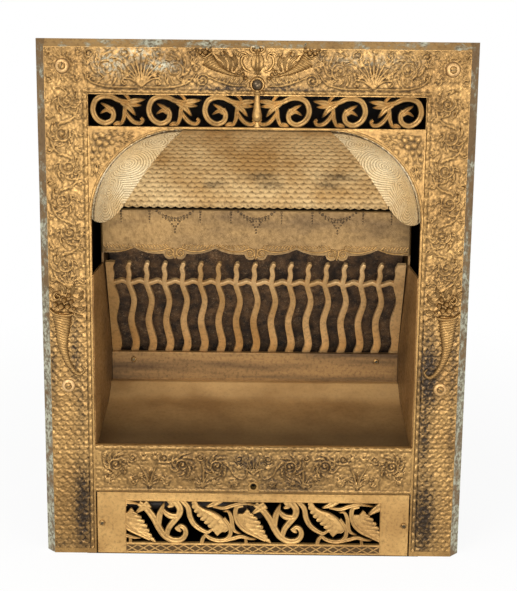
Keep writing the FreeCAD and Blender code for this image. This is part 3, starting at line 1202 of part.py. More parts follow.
def make_burner():
    """The drilled burner tube and the two cups that hold its ends on the cheeks."""
    y = size("burner_depth")
    z = size("burner_height")
    outer = size("burner_radius")
    inner = outer - size("tube_wall")
    half = size("burner_half")
    across = Vector(1, 0, 0)
    within = math.cos(math.pi / PIPE_SIDES)
    tube = many_sided(Vector(-half, y, z), across, 2 * half, outer * within, PIPE_SIDES)
    tube = tube.cut(many_sided(Vector(-half, y, z), across, 2 * half, inner * within, PIPE_SIDES))
    ports = []
    slit = size("port_width")
    count = int((2 * half - 2 * size("cup_depth")) / size("port_pitch"))
    for number in range(count):
        x = (number - (count - 1) / 2) * size("port_pitch")
        long = size("port_length") / 2
        ports.append(block(x - long, x + long, y - slit / 2, y + slit / 2, z, z + outer + PAST))
    inlet = many_sided(Vector(0, y, z - outer - PAST), Vector(0, 0, 1), outer, inner - PAST, SIDES)
    shaped("burner_tube", tube.cut(Part.makeCompound(ports)).cut(inlet))
    rim = outer + size("cup_wall")
    end = cheek_half(y + rim) - size("fit_gap")
    start = half - size("cup_depth")
    cup = many_sided(Vector(start, y, z), across, end - start, rim * within, PIPE_SIDES)
    reach = outer * within + size("seat_gap")
    cup = cup.cut(many_sided(Vector(start - PAST, y, z), across, half - start + 2 * PAST, reach, PIPE_SIDES))
    shaped("burner_cups", Part.makeCompound([cup, mirrored(cup)]))


def prism(spots, half):
    """A straight solid across the middle plane: spots are (depth, height)."""
    corners = [Vector(-half, depth, height) for depth, height in spots]
    return Part.Face(Part.makePolygon(corners + corners[:1])).extrude(Vector(2 * half, 0, 0))


def mixer_run(radius, sides):
    """A run back and a riser that meet in a mitre under the burner."""
    y = size("burner_depth")
    level = size("key_height")
    front = size("mixer_front")
    reach = 2 * radius
    run = many_sided(Vector(0, front, level), Vector(0, 1, 0), y - front + radius, radius, sides)
    up = Vector(0, 0, 1)
    climb = size("burner_height") - level + radius
    riser = many_sided(Vector(0, y, level - radius), up, climb, radius, sides)
    cut_line = [(y - reach, level + reach), (y + reach, level - reach)]
    beyond = prism(cut_line + [(y + reach, level + reach)], reach)
    before = prism(cut_line + [(y - reach, level - reach)], reach)
    return run.cut(beyond).fuse(riser.cut(before))


def make_mixer():
    """The mixing tube: a windowed mouth behind the valve, a run back and a riser to the burner."""
    level = size("key_height")
    front = size("mixer_front")
    outer = size("burner_radius")
    along = Vector(0, 1, 0)
    within = math.cos(math.pi / PIPE_SIDES)
    tube = mixer_run(outer, 0).cut(mixer_run((outer - size("tube_wall")) * within, PIPE_SIDES))
    mouth = rod(0, front, level, along, size("mouth_wall"), outer - size("tube_wall") / 2)
    hole = size("spud_radius") + size("fit_gap")
    way = many_sided(Vector(0, front - PAST, level), along, size("mouth_wall") + 2 * PAST, hole, SIDES)
    tube = tube.fuse(mouth.cut(way))
    start = Vector(-2 * outer, size("burner_depth"), size("burner_height"))
    burner = many_sided(start, Vector(1, 0, 0), 4 * outer, outer * within, PIPE_SIDES)
    shaped("mixer_tube", tube.cut(burner).cut(air_window()).removeSplitter())


def air_window():
    """The block of air that the mixer's windows and its shutter let through."""
    start = size("window_front")
    level = size("key_height")
    tall = size("window_height") / 2
    wide = 2 * size("burner_radius")
    return block(-wide, wide, start, start + size("window_length"), level - tall, level + tall)


def make_air_shutter():
    """The windowed sleeve that turns on the mixer to set its air."""
    level = size("key_height")
    inner = size("burner_radius") + size("running_gap")
    outer = inner + size("shutter_wall")
    lap = size("shutter_lap")
    start = size("window_front") - lap
    length = size("window_length") + 2 * lap
    along = Vector(0, 1, 0)
    sleeve = many_sided(Vector(0, start, level), along, length, outer, SIDES)
    half = size("tab_width") / 2
    end = start + length
    rise = level + outer
    tab = block(-half, half, end - size("tab_wall"), end, rise - PAST, rise + size("shutter_tab"))
    before = Vector(0, start - PAST, level)
    bore = many_sided(before, along, length + 2 * PAST, inner / math.cos(math.pi / PIPE_SIDES), PIPE_SIDES)
    sleeve = sleeve.fuse(tab).cut(bore)
    shaped("air_shutter", sleeve.cut(air_window()).removeSplitter())


def make_valve():
    """Gas valve behind the key hole: body, turning plug with a square key end, packing nut and spud."""
    level = size("key_height")
    front = size("valve_front")
    length = size("valve_length")
    rear = size("valve_back")
    plug = size("plug_radius")
    reach = size("valve_radius")
    along = Vector(0, 1, 0)
    stem_radius = plug - size("stem_step")
    gap = size("running_gap")
    play = size("plug_gap")
    socket_top = size("supply_height") + size("elbow_rise")
    sink = size("socket_depth")
    barrel = many_sided(Vector(0, front, level), along, length, reach, 6)
    nose = many_sided(Vector(0, rear, level), along, size("nose_length"), reach - size("valve_neck"), SIDES)
    foot_start = Vector(0, size("supply_depth"), socket_top - sink)
    foot = many_sided(foot_start, Vector(0, 0, 1), level - socket_top + sink, valve_foot(), SIDES)
    core = barrel.fuse(nose).fuse(foot)
    chamber = length - size("valve_floor")
    core = core.cut(rod(0, front - PAST, level, along, chamber + PAST, plug + gap))
    shaped("valve_body", core.removeSplitter())
    stem = rod(0, front + play, level, along, chamber - 2 * play, plug)
    round_front = front - size("stem_length")
    slim = stem_radius * math.cos(math.pi / SIDES)
    stem_run = size("stem_length") + 2 * play
    stem = stem.fuse(many_sided(Vector(0, round_front, level), along, stem_run, slim, SIDES))
    flat = stem_radius * 0.7
    key_end = round_front - size("key_square")
    square = block(-flat, flat, key_end, round_front + PAST, level - flat, level + flat)
    shaped("valve_stem", stem.fuse(square).removeSplitter())
    gland = size("gland_length")
    nut = many_sided(Vector(0, front - gland, level), along, gland, reach - size("gland_step"), 6)
    before = Vector(0, front - gland - PAST, level)
    way = many_sided(before, along, gland + 2 * PAST, stem_radius + gap, SIDES)
    shaped("packing_nut", nut.cut(way))
    tip = size("spud_radius")
    start = rear + size("nose_length")
    flats = many_sided(Vector(0, start, level), along, size("spud_flats"), tip + size("spud_lap"), 6)
    jet_start = start + size("spud_flats") - PAST
    slim = tip * math.cos(math.pi / SIDES)
    jet = many_sided(Vector(0, jet_start, level), along, size("spud_nose") + PAST, slim, SIDES)
    shaped("gas_spud", flats.fuse(jet).removeSplitter())


def valve_foot():
    """Reach of the valve's foot to its flats, which seat in the elbow."""
    return size("valve_radius") - size("stem_step")


def make_supply():
    """The elbow under the valve and the pipe that leaves through the casing's side."""
    y = size("supply_depth")
    level = size("supply_height")
    socket = size("supply_radius") + size("seat_gap")
    outer = size("supply_radius") + size("elbow_wall")
    up = Vector(0, 0, 1)
    left = Vector(-1, 0, 0)
    stout = outer + size("elbow_swell")
    rise = size("elbow_rise")
    boss = many_sided(Vector(0, y, level), left, size("elbow_reach"), outer, 6)
    upright = many_sided(Vector(0, y, level - stout), up, rise + stout, stout, SIDES)
    sink = size("socket_depth")
    inlet = valve_foot() + size("seat_gap")
    upper = many_sided(Vector(0, y, level + rise - sink), up, sink + PAST, inlet, SIDES)
    inset = size("pipe_inset")
    arm = many_sided(Vector(-inset, y, level), left, size("elbow_reach") - inset + PAST, socket, PIPE_SIDES)
    shaped("supply_elbow", upright.fuse(boss).cut(upper).cut(arm).removeSplitter())
    reach = size("supply_reach")
    thread = size("thread_length")
    within = math.cos(math.pi / PIPE_SIDES)
    outside = size("supply_radius") * within
    pipe = many_sided(Vector(-inset, y, level), left, reach - inset - thread, outside, PIPE_SIDES)
    pipe = pipe.fuse(rod(thread - reach, y, level, left, thread, size("thread_radius")))
    inside = size("supply_radius") - size("supply_wall")
    pipe = pipe.cut(many_sided(Vector(PAST - inset, y, level), left, reach, inside * within, SIDES))
    shaped("supply_pipe", pipe)


make_face_frame()
make_frieze_grille()
make_lower_grille()
make_crest()
make_cornucopias()
make_face_fasteners()
make_small_screws("panel_screws", size("panel_screw_x"), size("panel_screw_z"), 0.0,
                  size("face_thickness") + size("rim_depth") - size("bevel_depth") - size("small_gap"))
make_hood()
make_valance()
make_flame_grate()
make_grate_rail()
make_small_screws("rail_screws", size("rail_screw_x"), size("rail_screw_z"),
                  size("grate_foot_depth") - size("rail_depth"), size("rail_depth") + size("bar_depth"))
make_cheek("left_cheek", "-")
make_cheek("right_cheek", "")
make_floor_pan()
make_radiant_back()
make_casing()
make_flue()
make_damper()
make_damper_escutcheon()
make_burner()
make_mixer()
make_air_shutter()
make_valve()
make_supply()

doc.recompute()
for item in doc.Objects:
    if "Invalid" in item.State or "Error" in item.State:
        raise RuntimeError(f"{item.Label} failed: {item.State}")
for piece in pieces:
    if piece.Shape.isNull() or not piece.Shape.isValid():
        raise RuntimeError(f"{piece.Label} has no valid shape")
os.makedirs("parts", exist_ok=True)
for piece in pieces:
    piece.Shape.exportStep(f"parts/{piece.Label}.step")
    print(piece.Label, len(piece.Shape.Solids), round(piece.Shape.Volume / 1000, 1))
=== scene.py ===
# %% [markdown]
# # A cast-iron gas fireplace insert
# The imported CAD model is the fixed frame: every piece here is placed in its coordinates. Shapes are worked
# out in millimetres and become metres in one place. X runs to the right, Y into the chimney and Z up, from
# the middle of the face's bottom edge.

# %% Load the frame
import math

import bmesh
import bpy
import numpy as np
from mathutils import Euler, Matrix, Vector


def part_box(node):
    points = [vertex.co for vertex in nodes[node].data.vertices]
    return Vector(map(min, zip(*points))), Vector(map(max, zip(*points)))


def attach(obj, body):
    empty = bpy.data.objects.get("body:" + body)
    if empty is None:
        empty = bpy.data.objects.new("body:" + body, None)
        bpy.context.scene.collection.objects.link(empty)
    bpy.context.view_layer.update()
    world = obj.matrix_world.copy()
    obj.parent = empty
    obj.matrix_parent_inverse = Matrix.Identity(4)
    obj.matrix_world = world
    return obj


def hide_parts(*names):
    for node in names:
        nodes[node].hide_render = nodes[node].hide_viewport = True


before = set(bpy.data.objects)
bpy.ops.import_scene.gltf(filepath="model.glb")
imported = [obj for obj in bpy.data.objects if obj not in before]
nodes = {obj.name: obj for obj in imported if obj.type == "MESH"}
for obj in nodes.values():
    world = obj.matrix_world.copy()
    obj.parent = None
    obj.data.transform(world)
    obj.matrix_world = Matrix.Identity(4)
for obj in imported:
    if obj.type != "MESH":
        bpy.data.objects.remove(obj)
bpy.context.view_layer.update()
MM = 0.001
METRE_MM = 1000.0

# %% [markdown]
# ## Camera
# The insert was photographed from in front and a little above, so its uprights draw together downwards.
# A plain perspective camera with a short telephoto lens gives that; no lens shift is needed.

# %% Camera
CAMERA_PLACE_MM = (6.3, -1802.6, 780.7)
CAMERA_TURN_DEG = (77.849, -0.592, 0.180)
CAMERA_LENS_MM = 79.19
CAMERA_SENSOR_MM = 36.0
camera_data = bpy.data.cameras.new("front_camera")
camera_data.sensor_width = CAMERA_SENSOR_MM
camera_data.lens = CAMERA_LENS_MM
camera = bpy.data.objects.new("front_camera", camera_data)
camera.location = Vector(CAMERA_PLACE_MM) * MM
camera.rotation_euler = Euler([math.radians(turn) for turn in CAMERA_TURN_DEG])
bpy.context.scene.collection.objects.link(camera)
bpy.context.scene.camera = camera
bpy.context.scene.view_settings.view_transform = "Standard"
print("camera at", tuple(round(v, 3) for v in camera.location))

# %% [markdown]
# ## Colour and nodes
# Colours are written as the sRGB hex values that the eye reads, and one function turns them to the linear
# values that shaders use. One more function adds a node with its settings and its links, and gives back the
# output that the next node takes.

# %% Colour and node helpers


def linear(hex_text):
    """An sRGB hex colour as linear RGBA."""
    parts = [int(hex_text[i:i + 2], 16) / 255 for i in (1, 3, 5)]
    return tuple(v / 12.92 if v <= 0.04045 else ((v + 0.055) / 1.055) ** 2.4 for v in parts) + (1.0,)


def add(tree, kind, inputs=None, out=0, **settings):
    """One shader node: settings are its properties, inputs are plain values or other nodes' outputs."""
    node = tree.nodes.new("ShaderNode" + kind)
    for name, setting in settings.items():
        setattr(node, name, setting)
    for name, given in (inputs or {}).items():
        if isinstance(given, bpy.types.NodeSocket):
            tree.links.new(given, node.inputs[name])
        else:
            node.inputs[name].default_value = given
    return node.outputs if out is None else node.outputs[out]


# A Mix node that blends colours takes its share at 0 and its colours at 6 and 7, and gives the blend at 2.
BLEND = {"data_type": "RGBA", "out": 2}


def new_material(name):
    """A node material with nothing in it yet, and its tree."""
    material = bpy.data.materials.new(name)
    material.use_nodes = True
    material.node_tree.nodes.clear()
    return material, material.node_tree


print("gold reads as", [round(v, 3) for v in linear("#a5884f")])

# %% [markdown]
# ## Floor and light
# A pale floor, an even white surround and three soft lamps, as in a plain studio. The surround shows white
# to the camera and in reflections, and lights the object at a plain level. The floor turns to that white
# wherever no shadow falls, so that no horizon shows, but not under the insert: there it is painted near
# black, a painted shadow for the dark inside.

# %% Floor and light
FLOOR_WHITE = 0.9
FLOOR_HALF = 6.0
FLOOR_DROP = 0.0005
FADE_NEAR = 0.6
FADE_FAR = 1.6
UNDER_HALF = 0.245
UNDER_BACK = 0.25
PURE_WHITE = (1, 1, 1, 1)
SURROUND_STRENGTH = 0.55


def in_sight(tree):
    """1 for a ray from the camera, from a reflection or through glass, otherwise 0."""
    path = add(tree, "LightPath", out=None)
    seen = add(tree, "Math", {0: path["Is Camera Ray"], 1: path["Is Transmission Ray"]}, operation="MAXIMUM")
    return add(tree, "Math", {0: seen, 1: path["Is Glossy Ray"]}, operation="MAXIMUM")


floor_material, tree = new_material("pale_studio_floor")
paper = add(tree, "TexNoise", {"Scale": 6.0, "Detail": 2.0})
tint = add(tree, "Mix", {0: paper, 6: linear("#f7f6f4"), 7: linear("#fcfbfa")}, **BLEND)
white = add(tree, "Emission", {"Color": PURE_WHITE, "Strength": 1.0})
place = add(tree, "TexCoord", out="Object")
spot = add(tree, "SeparateXYZ", {0: place}, None)
aside = add(tree, "Math", {0: spot["X"]}, operation="ABSOLUTE")
beside = add(tree, "Math", {0: aside, 1: UNDER_HALF}, operation="GREATER_THAN")
before = add(tree, "Math", {0: spot["Y"], 1: 0.0}, operation="LESS_THAN")
behind = add(tree, "Math", {0: spot["Y"], 1: UNDER_BACK}, operation="GREATER_THAN")
around = add(tree, "Math", {0: before, 1: behind}, operation="MAXIMUM")
around = add(tree, "Math", {0: around, 1: beside}, operation="MAXIMUM")
# Under the insert the floor is painted near black: a painted shadow.
under_insert_shadow = add(tree, "Mix", {0: around, 6: linear("#0c0b0b"), 7: tint}, **BLEND)
pale = add(tree, "BsdfDiffuse", {"Color": under_insert_shadow})
far = add(tree, "VectorMath", {0: place}, "Value", operation="LENGTH")
keep = add(tree, "MapRange", {"Value": far, "From Min": FADE_NEAR, "From Max": FADE_FAR,
                              "To Min": FLOOR_WHITE})
lift = add(tree, "Math", {0: in_sight(tree), 1: keep}, operation="MULTIPLY")
lift = add(tree, "Math", {0: lift, 1: around}, operation="MULTIPLY")
surface = add(tree, "MixShader", {0: lift, 1: pale, 2: white})
add(tree, "OutputMaterial", {"Surface": surface}, None)
floor_corners = [(x * FLOOR_HALF, y * FLOOR_HALF, 0) for x, y in ((-1, -1), (1, -1), (1, 1), (-1, 1))]
floor_mesh = bpy.data.meshes.new("floor")
floor_mesh.from_pydata(floor_corners, [], [(0, 1, 2, 3)])
floor_mesh.materials.append(floor_material)
floor = bpy.data.objects.new("floor", floor_mesh)
floor.location.z = -FLOOR_DROP
bpy.context.scene.collection.objects.link(floor)

world = bpy.data.worlds.new("studio_surround")
world.use_nodes = True
bpy.context.scene.world = world
tree = world.node_tree
tree.nodes.clear()
lit = add(tree, "Background", {"Color": linear("#f6f4f0"), "Strength": SURROUND_STRENGTH})
white = add(tree, "Background", {"Color": PURE_WHITE, "Strength": 1.0})
both = add(tree, "MixShader", {0: in_sight(tree), 1: lit, 2: white})
add(tree, "OutputWorld", {"Surface": both}, None)


def soft_lamp(name, place, aim, width, watts):
    """A square area lamp that looks at a point."""
    data = bpy.data.lights.new(name, "AREA")
    data.size = width
    data.energy = watts
    lamp = bpy.data.objects.new(name, data)
    lamp.location = place
    lamp.rotation_euler = (Vector(aim) - Vector(place)).to_track_quat("-Z", "Y").to_euler()
    bpy.context.scene.collection.objects.link(lamp)


soft_lamp("key_lamp", (-1.1, -1.6, 2.0), (0, 0, 0.4), 1.2, 29)
soft_lamp("fill_lamp", (1.5, -1.7, 1.2), (0, 0, 0.4), 1.4, 16)
soft_lamp("low_lamp", (0.0, -1.9, 0.4), (0, 0.1, 0.3), 1.0, 23)
print("stage ready")

# %% [markdown]
# ## Bronze paint on cast iron
# The face was cast in iron, then coated with bronze powder in varnish. That gives a warm gold with soft
# gloss, rubbed bright on the high parts and brown in the hollows, with clouds of age about 100 mm across and
# specks of a few millimetres. Numbers stored on the meshes steer it: "cavity" says how deep a spot
# lies in the relief and so how dark it is, partly patina in the hollows and partly painted shade where a
# piece lies deep or behind another, and on the hood's shells a painted highlight round the eye of the rings;
# "soot" how much fire and handling have darkened it, with painted shadow in a few places; and
# "bloom" where the colour turns pale in patches. The hood's shells also store "ring_reach", the distance
# to the eye of their rings. A CAD node has none of them, and reads all as nothing.

# %% Bronze paint
CLOUD_MM = 100.0
SPECK_MM = 5.0
# Real casting sand leaves grains of about a third of a millimetre; drawn coarser so that they show.
GRAIN_MM = 1.4
GRAIN_DEPTH_MM = 0.4
CHIP_MM = 28.0
# Engine-turned rings are cut about four millimetres apart; they show as they are.
RING_PITCH_MM = 4.0
RIM_SIDE = 0.2925
RIM_TOP = 0.7368
SOOT_AND_SHADE_BROWN = linear("#2b2014")
PATCH_PALE = linear("#c8c8b0")
GRIME_BROWN = linear("#57432b")


def close_metal(tree, colour, metallic, blotch, rough_range, grain, grain_strength, grain_depth):
    """Ends a metal's tree: its gloss changes with a blotch, and a fine grain catches the light."""
    gloss = add(tree, "MapRange", {"Value": blotch, "From Min": 0.3, "From Max": 0.7,
                                   "To Min": rough_range[0], "To Max": rough_range[1]})
    bump = add(tree, "Bump", {"Height": grain, "Strength": grain_strength, "Distance": grain_depth * MM})
    shader = add(tree, "BsdfPrincipled", {"Base Color": colour, "Metallic": metallic, "Roughness": gloss,
                                          "Normal": bump})
    add(tree, "OutputMaterial", {"Surface": shader}, None)


def bronze_paint(name, light, dark, recess, rough, metallic, worn_rim=False, ringed=False, run=(1, 1, 1),
                 smoke_and_shade_depths=None, fleck_cover=0.5):
    """Bronze powder paint over iron; run stretches its clouds, and smoke with painted shade fades between two
    depths.
    """
    material, tree = new_material(name)
    place = add(tree, "TexCoord", out="Object")
    drawn = add(tree, "VectorMath", {0: place, 1: run}, operation="MULTIPLY")
    cloud = add(tree, "TexNoise", {"Vector": drawn, "Scale": METRE_MM / CLOUD_MM, "Detail": 4.0,
                                   "Roughness": 0.6})
    speck = add(tree, "TexNoise", {"Vector": place, "Scale": METRE_MM / SPECK_MM, "Detail": 3.0,
                                   "Roughness": 0.65})
    grain = add(tree, "TexNoise", {"Vector": place, "Scale": METRE_MM / GRAIN_MM, "Detail": 2.0})
    tone = add(tree, "MapRange", {"Value": cloud, "From Min": 0.38, "From Max": 0.62})
    colour = add(tree, "Mix", {0: tone, 6: linear(light), 7: linear(dark)}, **BLEND)
    flecks = add(tree, "MapRange", {"Value": speck, "From Min": 0.48, "From Max": 0.72,
                                    "To Max": fleck_cover})
    # cavity: patina in the hollows, and painted shade or a painted highlight where a piece stores them.
    hollow = add(tree, "Attribute", out="Fac", attribute_name="cavity")
    # Patches where the colour turns paler, broken up by specks.
    bloom = add(tree, "Attribute", out="Fac", attribute_name="bloom")
    patch_speck = add(tree, "MapRange", {"Value": speck, "From Min": 0.45, "From Max": 0.6})
    bloom = add(tree, "Math", {0: bloom, 1: patch_speck}, operation="MULTIPLY", use_clamp=True)
    # soot: soot, and painted shade where a piece stores it.
    darkening = add(tree, "Attribute", out="Fac", attribute_name="soot")
    patchy = add(tree, "MapRange", {"Value": speck, "From Min": 0.3, "From Max": 0.62, "To Min": 0.5,
                                    "To Max": 1.2})
    darkening = add(tree, "Math", {0: darkening, 1: patchy}, operation="MULTIPLY", use_clamp=True)
    # Smoke with painted shade: darker towards the first of the two depths.
    if smoke_and_shade_depths:
        depth = add(tree, "SeparateXYZ", {0: place}, "Y")
        near = add(tree, "MapRange", {"Value": depth, "From Min": smoke_and_shade_depths[0], "From Max": smoke_and_shade_depths[1],
                                      "To Min": 0.8, "To Max": 0.0})
        darkening = add(tree, "Math", {0: darkening, 1: near}, operation="MAXIMUM")
    layers = [(flecks, linear(recess)), (hollow, linear(recess)), (bloom, PATCH_PALE), (darkening, SOOT_AND_SHADE_BROWN)]
    if worn_rim:
        spot = add(tree, "SeparateXYZ", {0: place}, None)
        across = add(tree, "Math", {0: spot["X"]}, operation="ABSOLUTE")
        side = add(tree, "Math", {0: across, 1: RIM_SIDE}, operation="GREATER_THAN")
        top = add(tree, "Math", {0: spot["Z"], 1: RIM_TOP}, operation="GREATER_THAN")
        edge = add(tree, "Math", {0: side, 1: top}, operation="MAXIMUM")
        grimy = add(tree, "Math", {0: side, 1: 0.6}, operation="MULTIPLY")
        chips = add(tree, "TexNoise", {"Vector": place, "Scale": METRE_MM / CHIP_MM, "Detail": 5.0,
                                       "Roughness": 0.7})
        low = add(tree, "MapRange", {"Value": spot["Z"], "From Min": 0.2, "From Max": 0.6, "To Min": 0.14,
                                     "To Max": 0.0})
        worn = add(tree, "Math", {0: chips, 1: low}, operation="ADD")
        bare = add(tree, "MapRange", {"Value": worn, "From Min": 0.5, "From Max": 0.64})
        bare = add(tree, "Math", {0: bare, 1: edge}, operation="MULTIPLY")
        chalk = add(tree, "MapRange", {"Value": speck, "From Min": 0.42, "From Max": 0.58})
        chalk = add(tree, "Mix", {0: chalk, 6: linear("#6f634c"), 7: linear("#b9b79f")}, **BLEND)
        layers += [(grimy, GRIME_BROWN), (bare, chalk)]
    if ringed:
        reach = add(tree, "Attribute", out="Fac", attribute_name="ring_reach")
        wave = add(tree, "Math", {0: reach, 1: 2 * math.pi / RING_PITCH_MM}, operation="MULTIPLY")
        wave = add(tree, "Math", {0: wave}, operation="COSINE")
        cut = add(tree, "MapRange", {"Value": wave, "From Min": -0.45, "From Max": -0.95, "To Max": 0.75})
        layers.append((cut, linear(recess)))
    for share, over in layers:
        colour = add(tree, "Mix", {0: share, 6: colour, 7: over}, **BLEND)
    close_metal(tree, colour, metallic, speck, (rough - 0.08, rough + 0.12), grain, 0.3, GRAIN_DEPTH_MM)
    return material


face_bronze = bronze_paint("bronze_paint_on_cast_iron", "#a8834d", "#8b693a", "#3d2b14", 0.38, 0.74,
                           worn_rim=True)
panel_bronze = bronze_paint("thick_bronze_paint_on_panel", "#c9a061", "#a47d47", "#3d2b14", 0.4, 0.65)
hood_bronze = bronze_paint("rubbed_bronze_reflector", "#e2c088", "#b98f55", "#4a3516", 0.38, 0.65)
shell_bronze = bronze_paint("polished_bronze_shell", "#ffecc0", "#ffdfa4", "#7a582a", 0.28, 0.25, ringed=True)
# The valance is painted darker than the face: painted shade for the hood's shadow over it, with smoke.
valance_bronze = bronze_paint("smoked_and_shaded_bronze_paint", "#82653b", "#594325", "#33240f", 0.44, 0.65,
                              run=(0.5, 1, 1.6), fleck_cover=0.2)
# The cheeks darken towards the back of the firebox: smoke, and painted shade.
fire_bronze = bronze_paint("heat_and_shade_darkened_bronze_paint", "#b78d55", "#8a6538", "#2b1c0b", 0.46, 0.6,
                           smoke_and_shade_depths=(0.19, 0.0))
rail_bronze = bronze_paint("streaked_bronze_rail", "#866438", "#4a341a", "#33230f", 0.48, 0.6,
                           run=(0.3, 1, 3.0))
# The pan darkens towards its front: smoke stain, and painted shade.
pan_bronze = bronze_paint("smoked_and_shaded_bronze_pan", "#c6a26c", "#9f7c4e", "#3a2811", 0.44, 0.6, run=(0.7, 1, 1),
                          smoke_and_shade_depths=(0.05, 0.17), fleck_cover=0.12)
bar_bronze = bronze_paint("rubbed_bronze_on_high_spots", "#d8b27c", "#b68e58", "#6a5030", 0.42, 0.6)
print("bronze paints:", face_bronze.name, hood_bronze.name, fire_bronze.name)

# %% [markdown]
# ## Plainer metals
# Behind the face nothing is gilded. The casing is rolled black sheet iron, with scale in soft clouds; the
# flue collar is a rough grey-black casting; the valve is dull brass, sooted at its spindle; tubes and screws
# are darkened iron. One function serves them, because they differ only in colour, grain and gloss.

# %% Plainer metals


def bare_metal(name, base, shade, rough, metallic, cloud_mm, grain_mm, grain_depth):
    """Unpainted or blacked metal with clouds of scale and a fine surface grain."""
    material, tree = new_material(name)
    place = add(tree, "TexCoord", out="Object")
    cloud = add(tree, "TexNoise", {"Vector": place, "Scale": METRE_MM / cloud_mm, "Detail": 5.0,
                                   "Roughness": 0.62})
    grain = add(tree, "TexNoise", {"Vector": place, "Scale": METRE_MM / grain_mm, "Detail": 3.0})
    tone = add(tree, "MapRange", {"Value": cloud, "From Min": 0.35, "From Max": 0.68})
    colour = add(tree, "Mix", {0: tone, 6: linear(base), 7: linear(shade)}, **BLEND)
    close_metal(tree, colour, metallic, cloud, (rough - 0.07, rough + 0.1), grain, 0.4, grain_depth)
    return material


sheet_iron = bare_metal("rolled_black_sheet_iron", "#23201e", "#3a2c21", 0.6, 0.6, 70.0, 3.0, 0.15)
flue_iron = bare_metal("rough_cast_flue_iron", "#35322f", "#4a3b2f", 0.65, 0.5, 45.0, 2.0, 0.5)
valve_brass = bare_metal("dull_turned_brass", "#a88a4a", "#6e5630", 0.38, 0.9, 18.0, 1.5, 0.1)
pipe_iron = bare_metal("black_pipe_iron", "#2f2c2a", "#4b3a2c", 0.5, 0.7, 30.0, 2.0, 0.2)
sooted_brass = bare_metal("sooted_brass_spindle", "#2c2418", "#14100b", 0.6, 0.6, 18.0, 1.5, 0.1)
worn_steel = bare_metal("handled_dark_steel", "#6a5840", "#26211d", 0.26, 0.9, 9.0, 1.0, 0.05)
screw_steel = bare_metal("darkened_screw_steel", "#5e5038", "#2c251c", 0.42, 0.85, 6.0, 1.0, 0.1)
print("plain metals:", sheet_iron.name, flue_iron.name, valve_brass.name, pipe_iron.name, screw_steel.name)

# %% [markdown]
# ## Mineral fibre
# The back of the fire is felted mineral fibre, packed by hand: matt, tufted, brown from years of flame, with
# rusty and sooty patches. Its lumps are real geometry further down; here are the colours and the short
# fibres.

# %% Mineral fibre
TUFT_MM = 16.0
STRAND_MM = 2.5
STRAND_DEPTH_MM = 1.2
fibre, tree = new_material("felted_mineral_fibre")
place = add(tree, "TexCoord", out="Object")
tufts = add(tree, "TexNoise", {"Vector": place, "Scale": METRE_MM / TUFT_MM, "Detail": 6.0,
                               "Roughness": 0.75})
strands = add(tree, "TexNoise", {"Vector": place, "Scale": METRE_MM / STRAND_MM, "Detail": 4.0,
                                 "Distortion": 1.5})
tone = add(tree, "MapRange", {"Value": tufts, "From Min": 0.36, "From Max": 0.66})
warm = add(tree, "Mix", {0: tone, 6: linear("#140c06"), 7: linear("#6b4d2e")}, **BLEND)
pale = add(tree, "MapRange", {"Value": strands, "From Min": 0.56, "From Max": 0.72, "To Max": 0.7})
# The hollows between the lumps take a near black painted shade.
hollow = add(tree, "Attribute", out="Fac", attribute_name="cavity")
for share, over in ((pale, linear("#a58a68")), (hollow, linear("#120a05"))):
    warm = add(tree, "Mix", {0: share, 6: warm, 7: over}, **BLEND)
bump = add(tree, "Bump", {"Height": strands, "Strength": 0.8, "Distance": STRAND_DEPTH_MM * MM})
shader = add(tree, "BsdfPrincipled", {"Base Color": warm, "Roughness": 0.92, "Normal": bump})
add(tree, "OutputMaterial", {"Surface": shader}, None)
print("fibre ready")

# %% [markdown]
# ## Finishes for the CAD nodes
# Where the CAD shape is right it stays and only takes its finish. A node that a finer piece stands for
# further down takes one too, so that nothing is left bare.

# %% Finish every CAD node
FINISHES = [
    (face_bronze, "face_frame frieze_grille lower_grille face_bosses crest_ornament left_cornucopia"),
    (face_bronze, "right_cornucopia damper_escutcheon damper_handle"),
    (valance_bronze, "valance_panel"),
    (hood_bronze, "hood"),
    (fire_bronze, "left_cheek right_cheek"),
    (rail_bronze, "grate_rail"),
    (pan_bronze, "floor_pan"),
    (bar_bronze, "flame_grate"),
    (fibre, "fibre_back"),
    (sheet_iron, "rear_casing back_plate"),
    (flue_iron, "flue_collar damper_disc"),
    (valve_brass, "valve_body gas_spud"),
    (sooted_brass, "valve_stem packing_nut"),
    (pipe_iron, "burner_tube burner_cups mixer_tube air_shutter supply_elbow supply_pipe"),
    (screw_steel, "face_screws face_nuts panel_screws rail_screws damper_spindle damper_nut"),
]
finished = set()
for material, names in FINISHES:
    for name in names.split():
        nodes[name].data.materials.clear()
        nodes[name].data.materials.append(material)
        finished.add(name)
print("finished nodes:", len(finished), "left bare:", sorted(set(nodes) - finished))

# %% [markdown]
# ## Mesh helpers
# Castings are built from a few simple moves: a smooth line through points, a stroke swept along it, a slab
# between two grids of points, and a sheet whose rim is carried back and covered. Each gives a closed mesh.
# The numbers that steer the paint are stored on a piece when it is cast.

# %% Lines, slabs and castings


def smooth_line(points, step):
    """Points about a step apart on the smooth line through the given points."""
    spots = np.array(points, float)
    spots = np.vstack([2 * spots[0] - spots[1], spots, 2 * spots[-1] - spots[-2]])
    line = []
    for a, b, c, d in zip(spots, spots[1:], spots[2:], spots[3:]):
        count = max(2, int(np.linalg.norm(c - b) / step) + 1)
        t = np.linspace(0, 1, count, endpoint=False)[:, None]
        bend = (2 * a - 5 * b + 4 * c - d) * t ** 2 + (3 * b - a - 3 * c + d) * t ** 3
        line.append(0.5 * (2 * b + (c - a) * t + bend))
    line.append(spots[-2][None])
    return np.vstack(line)


